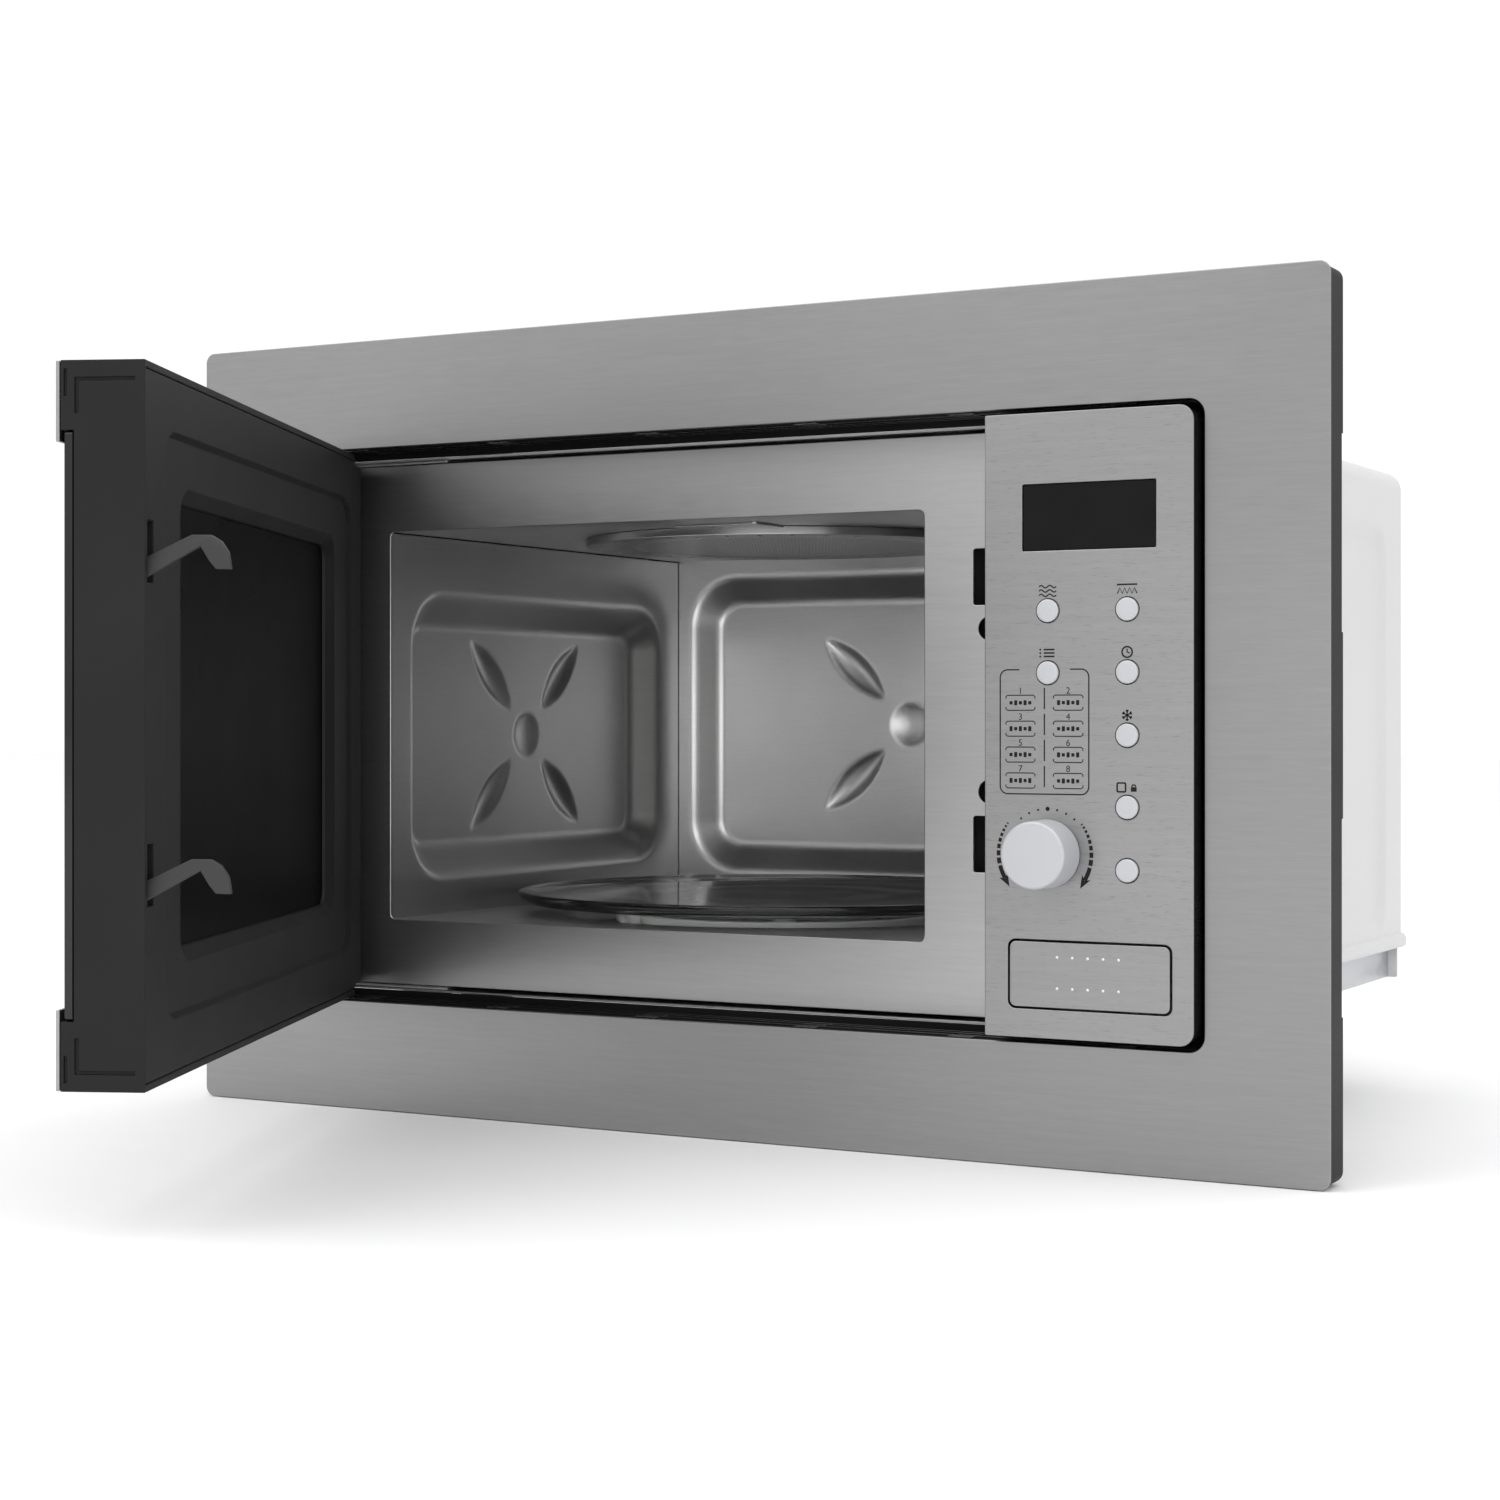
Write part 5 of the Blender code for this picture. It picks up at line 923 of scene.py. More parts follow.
BLACK_COAT = moulded_plastic("blackened_screen", (0.010, 0.010, 0.011), 0.5, 0.2, 0.2, **SWING)
HOLE_PITCH, HOLE_R = 4.0, 1.35
bm = bmesh.new()
edge_points = [(u * HOLE_PITCH / 2, v * HOLE_PITCH / 2) for u, v in
               ((1, 0), (1, 1), (0, 1), (-1, 1), (-1, 0), (-1, -1), (0, -1), (1, -1))]
outer = [bm.verts.new((u, v, 0.0)) for u, v in edge_points]
inner = [bm.verts.new((u, v, 0.0)) for u, v in circle((0.0, 0.0), HOLE_R, 8)]
for i in range(8):
    bm.faces.new((outer[i], outer[(i + 1) % 8], inner[(i + 1) % 8], inner[i]))
hole_tile = bpy.data.meshes.new("pierced_tile")
bm.to_mesh(hole_tile)
bm.free()


def pierced_sheet(spots, finish, way, thickness):
    """A sheet of pierced tiles, welded together and given its thickness."""
    sheet = spread(hole_tile, [(spot, way) for spot in spots], finish)
    bm = bmesh.new()
    bm.from_mesh(sheet)
    bmesh.ops.remove_doubles(bm, verts=bm.verts, dist=1e-3)
    bm.to_mesh(sheet)
    bm.free()
    return worked(sheet, ("SOLIDIFY", {"thickness": thickness, "offset": 0.0}))


COLUMNS, ROWS = 64, 43
screen_spots = [(DOOR_MID + (i - (COLUMNS - 1) / 2) * HOLE_PITCH, 19.5, (j - (ROWS - 1) / 2) * HOLE_PITCH)
                for i in range(COLUMNS) for j in range(ROWS)]
SCREEN_HALF = (142.0, 102.0)
mesh_half = (COLUMNS * HOLE_PITCH / 2, ROWS * HOLE_PITCH / 2)
screen_rim = plate("xz", rounded_rect(*SCREEN_HALF, 2.0, (DOOR_MID, 0.0)), (19.0, 20.0),
                   [rounded_rect(mesh_half[0] - 0.4, mesh_half[1] - 0.4, 1.5, (DOOR_MID, 0.0), 3)])
screen_sides = plate("xz", rounded_rect(*SCREEN_HALF, 2.0, (DOOR_MID, 0.0), 4), (5.0, 19.2),
                     [rounded_rect(SCREEN_HALF[0] - 1.0, SCREEN_HALF[1] - 1.0, 1.4, (DOOR_MID, 0.0), 3)])
piece("door_pierced_screen", pierced_sheet(screen_spots, BLACK_COAT, (0, -1, 0), 0.5), BLACK_COAT,
      "door", "door_screen", DOOR)
film = plate("xz", rounded_rect(mesh_half[0] + 3.0, mesh_half[1] + 3.0, 2.0, (DOOR_MID, 0.0)), (20.03, 20.23))
FILM = moulded_plastic("smoked_film", (0.002, 0.002, 0.0022), 0.30, 0.05, 0.02, **SWING)
piece("door_smoked_film", film, FILM, "door", place=DOOR)
piece("door_screen_tray", softened(joined(screen_rim, screen_sides), 0.15), BLACK_COAT, "door",
      place=DOOR)

DOOR_GLASS = black_glass("door_black_glass", (0.004, 0.004, 0.0045), (0.012, 0.012, 0.013))
glass = plate("xz", span_rect((-239.4, 142.6), (-110.9, 110.9), 1.5, 4), (-3.8, -0.4))
piece("door_outer_glass", softened(glass, 0.5, 3), DOOR_GLASS, "door", "door_glass", DOOR)

STRIP_STEEL = brushed_steel("strip_brushed_steel", 0.40, 0.1, **SWING)
for name, up in (("door_top_facing", 1), ("door_bottom_facing", -1)):
    strip = plate("xz", strip_outline((-237.6, 143.0), (106.8, 137.3), up), (-6.9, -5.4))
    slant = plate("xy", [(-240.5, -3.9), (-231.8, -8.4), (-240.5, -8.4)], (-150.0, 150.0))
    piece(name.replace("facing", "steel_strip"), softened(carved(strip, cut=[slant]), 0.35), STRIP_STEEL,
          "door", name, DOOR)

# ------------------------------------------------------------------ latch and its spring
# One flat moulded lever slides up and down in the door; its two hooks catch behind the front plate. A coil
# spring pulls it down.
HOOK_PLASTIC = moulded_plastic("hook_grey_plastic", (0.034, 0.034, 0.035), 0.42, 0.4, 0.35, **SWING)
piece("latch_lever", softened(copy_of("latch_hook"), 0.45), HOOK_PLASTIC, "latch", "latch_hook")
coil_curve = bpy.data.curves.new("coil", "CURVE")
coil_curve.dimensions = "3D"
coil_curve.bevel_depth = 0.5
coil_curve.bevel_resolution = 3
coil_curve.use_fill_caps = True
COIL_TURNS, COIL_STEPS, COIL_LOW, COIL_HIGH = 6, 24, -124.7, -95.8
coil = coil_curve.splines.new("POLY")
coil.points.add(COIL_TURNS * COIL_STEPS)
for i, point in enumerate(coil.points):
    angle = 2 * math.pi * i / COIL_STEPS
    point.co = (136.3 + 2.6 * math.cos(angle), 16.0 + 2.6 * math.sin(angle),
                COIL_LOW + (COIL_HIGH - COIL_LOW) * i / (COIL_TURNS * COIL_STEPS), 1.0)
coil_wire = worked(bpy.data.objects.new("coil", coil_curve))
piece("latch_coil_spring", smooth(coil_wire), ZINC, "door", "latch_spring", DOOR)

# ------------------------------------------------------------------ control panel
# A brushed steel sheet on a black moulded case. It is blanked for the window, seven buttons, the knob's
# spindle and the release button, and printed with plain signs, menu numbers and two arrows round the knob.
BUTTONS = {"power": (174.6, 50.0), "grill": (211.0, 50.0), "menu": (174.6, 22.95), "clock": (211.0, 22.95),
           "defrost": (211.0, -4.23), "stop": (211.0, -35.24), "start": (211.0, -62.43)}
KNOB = (174.6, -56.0)
WINDOW = ((162.7, 223.8), (76.2, 105.45))
RELEASE = ((156.0, 231.0), (-124.0, -93.6))
PANEL_X, PANEL_Z, PANEL_Y = (145.0, 240.6), 136.6, -6.5
PANEL_MID, PANEL_HALF = (PANEL_X[0] + PANEL_X[1]) / 2, (PANEL_X[1] - PANEL_X[0]) / 2


def panel_holes(spare):
    """The control panel's openings, opened by this much all round."""
    holes = [circle(spot, 5.4 + spare, 40) for spot in BUTTONS.values()]
    holes.append(circle(KNOB, 5.2 + spare, 32))
    holes.append(span_rect(*[(s[0] - spare, s[1] + spare) for s in WINDOW], 0.6, 3))
    holes.append(span_rect(*[(s[0] - spare, s[1] + spare) for s in RELEASE], 3.5))
    return holes


PANEL_STEEL = brushed_steel("panel_brushed_steel", 0.36, 0.42)
panel_outline = rounded_rect(PANEL_HALF, PANEL_Z, (6.5, 0.8, 0.8, 6.5), (PANEL_MID, 0.0))
panel_sheet = plate("xz", panel_outline, (PANEL_Y, PANEL_Y + 1.0), panel_holes(0.0))
CUT_CLEAR = 0.3                  # keeps a cut off the holes' own corner points
panel_cuts = sorted({spot[1] + CUT_CLEAR for spot in (*BUTTONS.values(), KNOB)}
                    | {sum(WINDOW[1]) / 2, sum(RELEASE[1]) / 2})
piece("panel_steel_sheet", softened(panel_sheet, 0.42, 3, cuts=panel_cuts), PANEL_STEEL,
      stands_for="panel_facing")
CASE_PLASTIC = moulded_plastic("case_black_plastic", (0.012, 0.012, 0.013), 0.24, 0.1, 0.3)
case_outline = rounded_rect(PANEL_HALF - 0.6, PANEL_Z - 0.6, (5.9, 0.6, 0.6, 5.9), (PANEL_MID, 0.0))
case_front = plate("xz", case_outline, (-5.2, -3.2), panel_holes(0.3))
case_ring = plate("xz", case_outline, (-4.2, 28.2),
                  [rounded_rect(PANEL_HALF - 2.6, PANEL_Z - 2.6, (3.9, 0.5, 0.5, 3.9), (PANEL_MID, 0.0))])
case_ribs = joined(*[block((PANEL_X[1] - 0.8, PANEL_X[1] - 0.15), (y, y + 1.2), (-128.0, 128.0))
                     for y in (3.0, 12.0, 21.0)])
piece("panel_case", softened(carved(case_front, add=[case_ring, case_ribs]), 0.3), CASE_PLASTIC,
      stands_for="panel_carrier")


def window_finish():
    """Dark tinted plastic window, a little unevenly toned."""
    tint = Finish("display_smoked_window", {"IOR": 1.49, "Specular IOR Level": 0.12})
    haze = tint.noise((25.0, 25.0, 25.0), 2.0)
    tint.feed(colour=tint.colours(haze, (0.006, 0.006, 0.0065), (0.010, 0.010, 0.011)),
              rough=tint.fit(haze, 0.3, 0.7, 0.10, 0.16))
    return tint.material


window = plate("xz", span_rect((162.9, 223.6), (76.4, 105.25), 0.5, 3), (-5.8, -3.2))
piece("display_tinted_window", softened(window, 0.2), window_finish(), stands_for="display_window")

# ------------------------------------------------------------------ panel print
# Dark brown-black signs screen-printed on the steel: one over each button, a frame with the eight menu
# numbers, and growing dashes with an arrowhead on both sides of the knob.
PRINT_Y, PRINT_THICK = PANEL_Y - 0.05, 0.09


def stroke(points, width, closed=False):
    """A printed line of even width along points of the panel, in X and Z."""
    count = len(points)
    edges = []
    for i, point in enumerate(points):
        before = points[i - 1] if closed or i else point
        after = points[(i + 1) % count] if closed or i < count - 1 else point
        way = Vector(after) - Vector(before)
        side = Vector((-way.y, way.x)).normalized() * width / 2
        edges.append([(point[0] + s * side.x, point[1] + s * side.y) for s in (1, -1)])
    bm = bmesh.new()
    rows = [[bm.verts.new((spot[0], y, spot[1])) for spot, y in
             ((left, PRINT_Y), (right, PRINT_Y), (right, PRINT_Y + PRINT_THICK), (left, PRINT_Y + PRINT_THICK))]
            for left, right in edges]
    for row, following in zip(rows, rows[1:] + rows[:1] if closed else rows[1:]):
        for j in range(4):
            bm.faces.new((row[j], row[(j + 1) % 4], following[(j + 1) % 4], following[j]))
    if not closed:
        bm.faces.new(rows[0])
        bm.faces.new(list(reversed(rows[-1])))
    return free(bm)


def patch(points):
    """A printed solid shape."""
    return plate("xz", points, (PRINT_Y, PRINT_Y + PRINT_THICK))


def arc(centre, radius, start, end, steps=16):
    """Points along an arc, in degrees."""
    turns = [math.radians(start + (end - start) * i / steps) for i in range(steps + 1)]
    return [(centre[0] + radius * math.cos(t), centre[1] + radius * math.sin(t)) for t in turns]


def figure(text, x, z, height):
    """A printed number."""
    font = bpy.data.curves.new("figure", "FONT")
    font.body = text
    font.size = height * 1.4
    font.align_x = "CENTER"
    font.extrude = PRINT_THICK / 2
    mesh = worked(bpy.data.objects.new("figure", font))
    mesh.transform(Matrix.Translation((x, PRINT_Y + PRINT_THICK / 2, z)) @ Matrix.Rotation(math.pi / 2, 4, "X"))
    return mesh


THIN, BOLD = 0.58, 0.72
prints = []
sign_z = 8.6
x, z = BUTTONS["power"][0], BUTTONS["power"][1] + sign_z
for row in (-1.9, 0.0, 1.9):
    prints.append(stroke([(x - 4.0 + i * 0.5, z + row + 0.55 * math.sin(i * 0.785)) for i in range(17)], THIN))
x, z = BUTTONS["grill"][0], BUTTONS["grill"][1] + sign_z
prints.append(stroke([(x - 4.6, z + 2.0), (x + 4.6, z + 2.0)], BOLD))
prints.append(stroke([(x - 4.4 + i * 1.1, z + (0.5 if i % 2 else -1.9)) for i in range(9)], THIN))
x, z = BUTTONS["menu"][0], BUTTONS["menu"][1] + sign_z
for row in (-1.5, 0.0, 1.5):
    prints.append(stroke([(x - 1.8, z + row), (x + 3.2, z + row)], BOLD))
    prints.append(patch(circle((x - 3.4, z + row), 0.45, 12)))
x, z = BUTTONS["clock"][0], BUTTONS["clock"][1] + sign_z
prints.append(stroke(circle((x, z), 2.3, 32), BOLD, True))
prints.append(stroke([(x, z + 1.4), (x, z), (x + 1.2, z - 0.5)], THIN))
x, z = BUTTONS["defrost"][0], BUTTONS["defrost"][1] + sign_z
for turn in (0, 60, 120):
    du, dv = 2.4 * math.cos(math.radians(turn + 30)), 2.4 * math.sin(math.radians(turn + 30))
    prints.append(stroke([(x - du, z - dv), (x + du, z + dv)], THIN))
    for way in (-1, 1):
        tip = (x + way * du * 0.62, z + way * dv * 0.62)
        for lean in (-40, 40):
            to = math.radians(turn + 30 + lean + (180 if way < 0 else 0))
            prints.append(stroke([tip, (tip[0] + 0.9 * math.cos(to), tip[1] + 0.9 * math.sin(to))], THIN))
x, z = BUTTONS["stop"][0], BUTTONS["stop"][1] + sign_z
prints.append(stroke(rounded_rect(1.9, 1.9, 0.4, (x - 2.6, z), 3), BOLD, True))
prints.append(patch(rounded_rect(1.3, 1.0, 0.2, (x + 3.0, z - 0.8), 2)))
prints.append(stroke(arc((x + 3.0, z + 0.3), 0.85, 0, 180), THIN))

MENU_X, MENU_Z = (152.4, 193.6), (-30.0, 24.4)
GAP_X = (161.4, 185.0)
menu = rounded_rect((MENU_X[1] - MENU_X[0]) / 2, (MENU_Z[1] - MENU_Z[0]) / 2, 3.4,
                    (sum(MENU_X) / 2, sum(MENU_Z) / 2), 6)
right_side = [(GAP_X[1], MENU_Z[1])] + list(reversed(menu[:7])) + list(reversed(menu[21:]))
left_side = list(reversed(menu[14:21])) + list(reversed(menu[7:14])) + [(GAP_X[0], MENU_Z[1])]
prints.append(stroke(right_side + left_side, THIN))
for row in range(4):
    top = 12.0 - row * 11.35
    prints.append(stroke([(173.1, top + 4.4), (173.1, top - 4.9)], THIN))
    for column, x in enumerate((161.9, 184.1)):
        half = 6.8
        prints.append(stroke([(x - half, top - 0.3), (x - half, top + 0.6), (x - half + 0.8, top + 1.2),
                              (x + half - 0.8, top + 1.2), (x + half, top + 0.6), (x + half, top - 0.3)], THIN * 0.8))
        prints.append(stroke([(x - half, top - 3.9), (x - half, top - 4.8), (x - half + 0.8, top - 5.4),
                              (x + half - 0.8, top - 5.4), (x + half, top - 4.8), (x + half, top - 3.9)], THIN * 0.8))
        prints.append(figure(str(row * 2 + column + 1), x, top + 1.8, 2.9))
        for dot in range(-2, 3):
            prints.append(patch(rounded_rect(0.72, 0.75 + 0.35 * ((dot + row + column) % 2), 0.25,
                                             (x + dot * 2.2, top - 2.1), 2)))
prints.append(patch(circle((KNOB[0], KNOB[1] + 19.6), 0.95, 20)))
for dot in range(-3, 4):
    if dot:
        spot = math.radians(90 + dot * 13)
        prints.append(patch(circle((KNOB[0] + 19.6 * math.cos(spot), KNOB[1] + 19.6 * math.sin(spot)), 0.5, 12)))
ARC_SPOT, ARC_R = (KNOB[0] - 1.4, KNOB[1]), 21.6
for side in (-1, 1):
    angle = 38.0
    for dash in range(8):
        reach = 1.6 + dash * 0.75
        wide = 0.9 + dash * 0.14
        ends = [90 + side * (90 - angle), 90 + side * (90 - angle + reach)]
        prints.append(stroke(arc(ARC_SPOT, ARC_R, ends[0], ends[1], 4), wide))
        angle -= reach + 2.4
    tail = arc(ARC_SPOT, ARC_R, 90 + side * (90 - angle), 90 + side * (90 - angle + 16), 6)
    prints.append(stroke(tail, 1.9))
    tip, before = Vector(tail[-1]), Vector(tail[-2])
    way = (tip - before).normalized()
    across_way = Vector((-way.y, way.x))
    prints.append(patch([tuple(tip + across_way * 2.3 - way * 1.6), tuple(tip + way * 4.2),
                         tuple(tip - across_way * 2.3 - way * 1.6), tuple(tip + way * 0.2)]))
PRINT_INK = moulded_plastic("panel_print_ink", (0.010, 0.007, 0.006), 0.5, 0.1, 0.2)
piece("panel_printed_signs", joined(*prints), PRINT_INK)


# ------------------------------------------------------------------ buttons, knob, release button
# Round push buttons and a hollow knob are moulded in silver-white plastic. The door release button is a
# brushed steel cap with ten small raised dots and a long rod.
def silver_plastic(name, colour, gloss):
    """Silver-white plastic with a fine pearly speck."""
    pearl = Finish(name, {"IOR": 1.5})
    speck = pearl.noise((0.35, 0.35, 0.35), 2.0, 0.7)
    drift = pearl.noise((18.0, 18.0, 18.0), 2.0)
    pearl.feed(colour=pearl.colours(speck * 0.6 + drift * 0.4, tuple(c * 0.93 for c in colour), colour),
               rough=pearl.fit(speck, 0.3, 0.7, gloss - 0.05, gloss + 0.05),
               metal=pearl.fit(speck, 0.3, 0.8, 0.05, 0.2))
    pearl.relief(speck, 0.012, 0.3)
    return pearl.material


SILVER = silver_plastic("silver_white_plastic", (0.55, 0.56, 0.585), 0.36)
button_line = eased([(0.0, -7.5), (3.0, -7.46), (5.0, -7.3), (5.0, -2.9), (6.3, -2.9), (6.3, -1.5), (1.6, -1.5),
                     (1.6, 10.5), (0.0, 10.5)], 0.55, 4)
for name, (x, z) in BUTTONS.items():
    piece(f"{name}_push_button", smooth(turned(button_line, (x, 0.0, z), "Y", 48)), SILVER,
          f"button_{name}_cap", f"button_{name}")
knob_line = eased([(0.0, -25.0), (14.0, -25.0), (14.7, -24.2), (15.1, -6.9), (12.8, -6.9), (12.6, -22.6),
                   (4.6, -22.6),
                   (4.6, -2.0), (3.0, -2.0), (3.0, 9.0), (0.0, 9.0)], 0.7, 4)
piece("selector_turning_knob", smooth(turned(knob_line, (KNOB[0], 0.0, KNOB[1]), "Y", 96)), SILVER,
      "knob", "selector_knob")
cap = plate("xz", span_rect((156.9, 230.1), (-123.1, -94.5), 2.8), (-6.7, -1.0))
rod = round_bar((ROD_SPOT[0], -2.0, ROD_SPOT[1]), (ROD_SPOT[0], 32.4, ROD_SPOT[1]), 2.5)
piece("release_steel_button", softened(carved(cap, add=[rod]), 0.35), PANEL_STEEL, "release_button",
      "door_release_button")
stud = smooth(turned([(0.0, 0.42), (0.35, 0.36), (0.62, 0.12), (0.66, -0.1), (0.0, -0.1)], sides=20))
stud_spots = [((179.0 + i * 7.05, -6.7, z), (0, -1, 0)) for i in range(5) for z in (-101.0, -114.6)]
STUD_FINISH = silver_plastic("raised_dot_silver", (0.86, 0.86, 0.87), 0.25)
piece("release_raised_dots", spread(stud, stud_spots, STUD_FINISH), STUD_FINISH, "release_button")

# ------------------------------------------------------------------ turntable, coupler, roller ring
# A pressed glass plate with a thick rolled rim and low rings underneath lies on three rollers and a white
# moulded coupler. The rollers run in a moulded ring, which lies loose in the floor's dish.
def clear_glass(name, tint, rough=0.03):
    """Clear pressed glass, a little grey, with faint ripples."""
    glass = Finish(name, {"IOR": 1.5, "Transmission Weight": 1.0})
    ripple = glass.noise((22.0, 22.0, 22.0), 2.0)
    glass.feed(colour=glass.colours(ripple, tuple(c * 0.93 for c in tint), tint),
               rough=glass.fit(ripple, 0.3, 0.7, rough, rough + 0.04))
    glass.relief(ripple, 0.02, 0.15)
    return glass.material


GLASS = clear_glass("turntable_glass", (0.52, 0.53, 0.53))
PLATE_Z = -94.7
under_rings = []
for radius in (42.0, 78.0, 116.0):
    under_rings += [(radius + 2.0, PLATE_Z + 0.05), (radius + 0.8, PLATE_Z + 0.55), (radius - 0.8, PLATE_Z + 0.55),
                    (radius - 2.0, PLATE_Z + 0.05)]
plate_top = [(0.0, PLATE_Z + 4.5), (127.0, PLATE_Z + 4.5), (131.0, PLATE_Z + 4.9), (137.0, PLATE_Z + 6.2),
             (140.0, PLATE_Z + 6.8), (142.2, PLATE_Z + 6.5), (143.0, PLATE_Z + 5.2), (142.4, PLATE_Z + 3.0),
             (139.5, PLATE_Z + 0.9), (134.5, PLATE_Z + 0.05)]
plate_line = eased(plate_top, 0.8, 2) + sorted(under_rings + [(0.0, PLATE_Z + 0.05)], reverse=True)
piece("pressed_glass_turntable", smooth(turned(plate_line, (TURN_X, TURN_Y, 0.0), sides=144), 50.0), GLASS,
      "turntable", "glass_turntable")
WHITE_PLASTIC = moulded_plastic("white_moulded_plastic", (0.72, 0.72, 0.70), 0.38, 0.4)
piece("turntable_drive_coupler", softened(copy_of("turntable_coupler"), 0.12), WHITE_PLASTIC,
      "turntable", "turntable_coupler")
ring_line = eased([(82.0, -99.85), (90.0, -99.85), (90.0, -104.35), (88.2, -104.35), (88.2, -101.6), (83.8, -101.6),
                   (83.8, -104.35), (82.0, -104.35)], 0.4, 2, True)
ring = turned(ring_line, (TURN_X, TURN_Y, 0.0), sides=96)
spokes = []
for i in range(3):
    turn = 2 * math.pi * i / 3
    way = Vector((math.cos(turn), math.sin(turn), 0.0))
    middle = Vector((TURN_X, TURN_Y, -101.85))
    spokes.append(round_bar(middle + way * 87.0, middle + way * 99.5, 1.5, 24))
    roller_line = eased([(1.8, -3.0), (1.8, 3.0), (6.05, 3.0), (6.85, 2.2), (6.85, -2.2), (6.05, -3.0)], 0.5, 3, True)
    wheel = turned(roller_line, (95.0, 0.0, 0.0), "X", 40)
    wheel.transform(Matrix.Translation(middle) @ Matrix.Rotation(turn, 4, "Z"))
    piece(f"roller_wheel_{i + 1}", smooth(wheel), WHITE_PLASTIC, f"roller_{'abc'[i]}",
          f"roller_{i + 1}")
piece("roller_ring_moulding", smooth(carved(ring, add=[joined(*spokes)])), WHITE_PLASTIC, "ring",
      "roller_ring")

# ------------------------------------------------------------------ grill
# A round pierced guard under the ceiling, held by a turned-up rim, hides the grill: a bent
# sheathed heating element in a bright dished reflector.
GUARD_Z, GUARD_R, GUARD_MESH_R = 95.0, 106.0, 84.0
guard_rim = turned(eased([(GUARD_MESH_R - 3.5, GUARD_Z + 0.9), (GUARD_R - 1.4, GUARD_Z + 0.9), (GUARD_R - 1.4, 99.1),
                          (GUARD_R, 99.1), (GUARD_R, GUARD_Z), (GUARD_MESH_R - 3.5, GUARD_Z)], 0.5, 3, True),
                   (TURN_X, TURN_Y, 0.0), sides=120)
guard_slots = []
for i in range(36):
    slot_mesh = plate("xy", rounded_rect(3.4, 1.2, 1.15, (96.0, 0.0), 3), (GUARD_Z - 2, GUARD_Z + 3))
    slot_mesh.transform(Matrix.Translation((TURN_X, TURN_Y, 0)) @ Matrix.Rotation(math.radians(i * 10), 4, "Z"))
    guard_slots.append(slot_mesh)
GUARD_STEEL = satin_steel("guard_satin_steel", 0.34)
piece("grill_guard_rim", smooth(carved(guard_rim, cut=[joined(*guard_slots)])), GUARD_STEEL,
      stands_for="grill_guard")
guard_reach = range(-21, 22)
guard_spots = [(TURN_X + i * HOLE_PITCH, TURN_Y + j * HOLE_PITCH, GUARD_Z + 0.5)
               for i in guard_reach for j in guard_reach if math.hypot(i, j) * HOLE_PITCH < GUARD_MESH_R]
piece("grill_guard_mesh", pierced_sheet(guard_spots, GUARD_STEEL, (0, 0, 1), 0.6), GUARD_STEEL)
reflector_line = eased([(0.0, 118.7), (90.0, 118.7), (97.0, 101.7), (106.0, 101.7), (106.0, 100.7), (96.2, 100.7),
                        (89.2, 117.7), (0.0, 117.7)], 1.2, 3)
REFLECTOR = plated_steel("aluminised_reflector", (0.75, 0.75, 0.76), 0.3)
piece("grill_dished_reflector", smooth(turned(reflector_line, (TURN_X, TURN_Y, 0.0), sides=96)), REFLECTOR,
      stands_for="grill_reflector")


def bent_tube(points, radius, sides=6):
    """A round tube along points, with closed ends."""
    curve = bpy.data.curves.new("tube", "CURVE")
    curve.dimensions = "3D"
    curve.bevel_depth = radius
    curve.bevel_resolution = sides
    curve.use_fill_caps = True
    line = curve.splines.new("POLY")
    line.points.add(len(points) - 1)
    for target, point in zip(line.points, points):
        target.co = (*point, 1.0)
    return smooth(worked(bpy.data.objects.new("tube", curve)))


HEATER_SHEATH = plated_steel("heater_sheath", (0.22, 0.21, 0.20), 0.5)
heater_points = [(TURN_X + 66.0 * math.cos(math.radians(-255 + 330 * i / 96)),
                  TURN_Y + 66.0 * math.sin(math.radians(-255 + 330 * i / 96)), 107.7) for i in range(97)]
piece("grill_heating_tube", bent_tube(heater_points, 3.2), HEATER_SHEATH, stands_for="grill_element")

# ------------------------------------------------------------------ oven lamp and waveguide
# A small glass lamp, its base drawn in the same glass, sits behind the right wall. The waveguide brings the
# microwaves behind a mica sheet that covers its mouth.
def mica_finish():
    """Mica board: pale, cloudy and layered, with glints."""
    mica = Finish("mica_board", {"IOR": 1.56})
    flake = mica.node("ShaderNodeTexVoronoi", sockets={"Vector": mica.place, "Scale": 0.35}, output="Color")
    shade = mica.node("ShaderNodeSeparateXYZ", sockets={0: flake}, output=0)
    mica.feed(colour=mica.colours(shade, (0.50, 0.47, 0.38), (0.66, 0.63, 0.54)),
              rough=mica.fit(shade, 0.0, 1.0, 0.35, 0.65))
    return mica.material


MICA = mica_finish()
lamp_line = eased([(0.0, 0.0), (6.0, 1.5), (9.0, 7.0), (9.0, 16.0), (6.0, 22.0), (6.0, 24.0), (11.0, 24.0),
                   (11.0, 36.0),
                   (0.0, 36.0)], 1.6, 4)
LAMP_GLASS = clear_glass("lamp_glass", (0.9, 0.9, 0.88))
piece("oven_lamp_bulb", smooth(turned(lamp_line, (102.2, 78.0, 74.0), "X", 40)), LAMP_GLASS,
      stands_for="oven_lamp")
piece("waveguide_duct", softened(copy_of("waveguide"), 0.4), ZINC, stands_for="waveguide")
mica_sheet = plate("yz", span_rect((123.0, 207.0), (-22.0, 52.0), 4.0, 4), (98.6, 99.6))
piece("waveguide_mica_sheet", softened(mica_sheet, 0.2), MICA, stands_for="waveguide_cover")
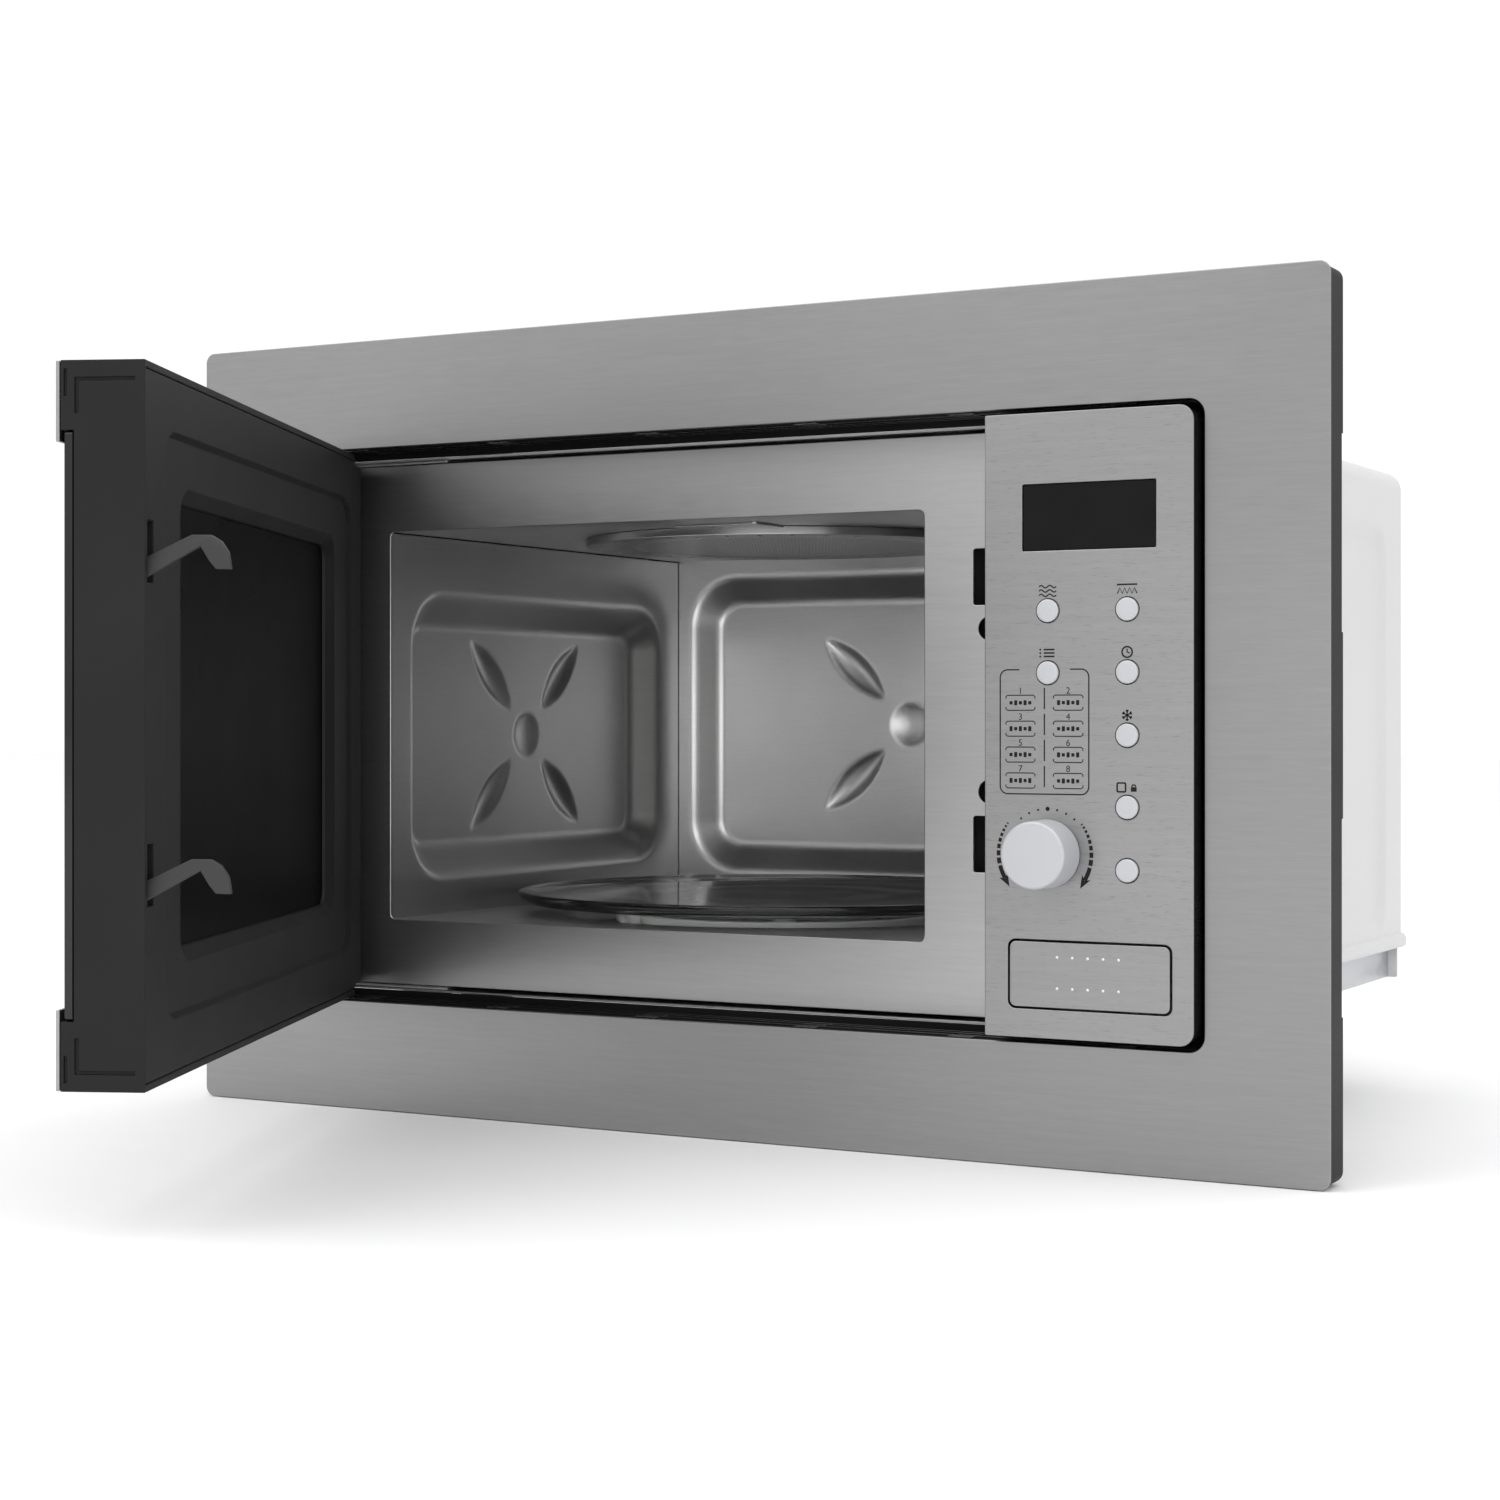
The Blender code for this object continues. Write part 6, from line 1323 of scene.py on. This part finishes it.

# ------------------------------------------------------------------ latch channel, switches, lever
# Behind the front plate a moulded channel takes the hooks; two microswitches sit on it. Its dark colour is
# painted shade, so that the hook slots read as shadowed. The lever turned by the release rod lifts the hooks out.
SWITCH_PLASTIC = moulded_plastic("switch_black_plastic", (0.022, 0.022, 0.023), 0.4)
# painted shade: the channel is coloured dark so that the hook slots in the front plate look shadowed
CHANNEL_PAINTED_SHADE = moulded_plastic("channel_painted_shade_plastic", (0.060, 0.060, 0.062), 0.5, 0.4, 0.3)
piece("latch_channel", softened(copy_of("latch_board"), 0.5), CHANNEL_PAINTED_SHADE,
      stands_for="latch_board")
piece("release_turning_lever", softened(copy_of("release_lever"), 0.12), WHITE_PLASTIC, "lever",
      "release_lever")
for name in ("door_switch_upper", "door_switch_lower"):
    piece(name + "_case", softened(copy_of(name), 0.25), SWITCH_PLASTIC, stands_for=name)

# ------------------------------------------------------------------ microwave source
# The magnetron with its finned yoke and filter box is bolted to the waveguide. The transformer has a
# laminated core with enamelled copper windings, and the oval can beside it is the high-voltage capacitor.
def laminated_iron(name):
    """Stacked core plates: thin dark lines across a varnished grey."""
    iron = Finish(name, {"Metallic": 0.85})
    line = iron.node("ShaderNodeMath", {"operation": "FRACT"}, {0: iron.axis(1) * 0.8})
    rust = iron.noise((9.0, 9.0, 9.0), 3.0)
    iron.feed(colour=iron.colours(iron.fit(line + rust * 0.5, 0.15, 0.5), (0.03, 0.03, 0.03), (0.20, 0.19, 0.185)),
              rough=iron.fit(rust, 0.3, 0.7, 0.45, 0.65))
    iron.relief(line, 0.1, 0.4)
    return iron.material


def copper_rows_painted_shade(name):
    """Rows of enamelled wire, coloured dark in the grooves between turns and bright on each crown: painted shade and
    painted highlight.
    """
    copper = Finish(name, {"Metallic": 1.0})
    # painted shade and highlight: the colour ramps from dark in each groove to bright on the crown of each 1.2 mm row
    turn = copper.node("ShaderNodeMath", {"operation": "PINGPONG"}, {0: copper.axis(2), 1: 0.6})
    tone = copper.noise((12.0, 12.0, 12.0), 2.0)
    copper.feed(colour=copper.colours(turn + tone * 0.4, (0.22, 0.09, 0.04), (0.62, 0.30, 0.15)),
                rough=copper.fit(tone, 0.3, 0.7, 0.3, 0.42))
    copper.relief(turn, 0.3, 0.6)
    return copper.material


CAST_ALUMINIUM = plated_steel("drawn_aluminium", (0.72, 0.72, 0.73), 0.34)
piece("magnetron_body", softened(copy_of("magnetron"), 0.2), CAST_ALUMINIUM, stands_for="magnetron")
piece("transformer_laminations", softened(copy_of("transformer_core"), 0.5), laminated_iron("laminated_core"),
      stands_for="transformer_core")
piece("transformer_copper", softened(copy_of("transformer_windings"), 1.2, 3), copper_rows_painted_shade("enamelled_copper_painted_shade"),
      stands_for="transformer_windings")
piece("capacitor_can", softened(copy_of("hv_capacitor"), 0.8, 3, 50.0), CAST_ALUMINIUM,
      stands_for="hv_capacitor")

# ------------------------------------------------------------------ cooling fan
# A shaded-pole motor turns a five-blade moulded fan in a white shroud against the rear panel's slots.
piece("fan_duct", softened(copy_of("fan_shroud"), 0.2, 2, 40.0), WHITE_PLASTIC,
      stands_for="fan_shroud")
piece("fan_shaded_pole_motor", softened(copy_of("fan_motor"), 0.5), laminated_iron("motor_core"),
      stands_for="fan_motor")
piece("fan_moulded_blades", softened(copy_of("fan_blade"), 0.08), SWITCH_PLASTIC, "fan", "fan_blade")
piece("turntable_gear_motor", softened(copy_of("turntable_motor"), 0.8, 3, 50.0), ZINC,
      stands_for="turntable_motor")


# ------------------------------------------------------------------ control board and encoder
# The green circuit board carries the display, relays and the push-button switches. The knob's spindle turns
# in the encoder soldered to it.
def circuit_green(name):
    """Solder-masked board with tracks."""
    board = Finish(name, {"IOR": 1.5})
    wander = board.noise((7.0, 7.0, 7.0), 2.0)
    track = board.node("ShaderNodeMath", {"operation": "PINGPONG"}, {0: board.axis(2) + wander * 9.0, 1: 1.6})
    shown = board.fit(track, 0.7, 0.9)
    board.feed(colour=board.colours(shown, (0.012, 0.075, 0.035), (0.03, 0.16, 0.07)),
               rough=board.fit(wander, 0.3, 0.7, 0.3, 0.42))
    board.relief(shown, 0.05, 0.4)
    return board.material


piece("control_circuit_board", softened(copy_of("control_board"), 0.3), circuit_green("solder_mask_green"),
      stands_for="control_board")
piece("knob_encoder", softened(copy_of("rotary_encoder"), 0.4), ZINC, stands_for="rotary_encoder")
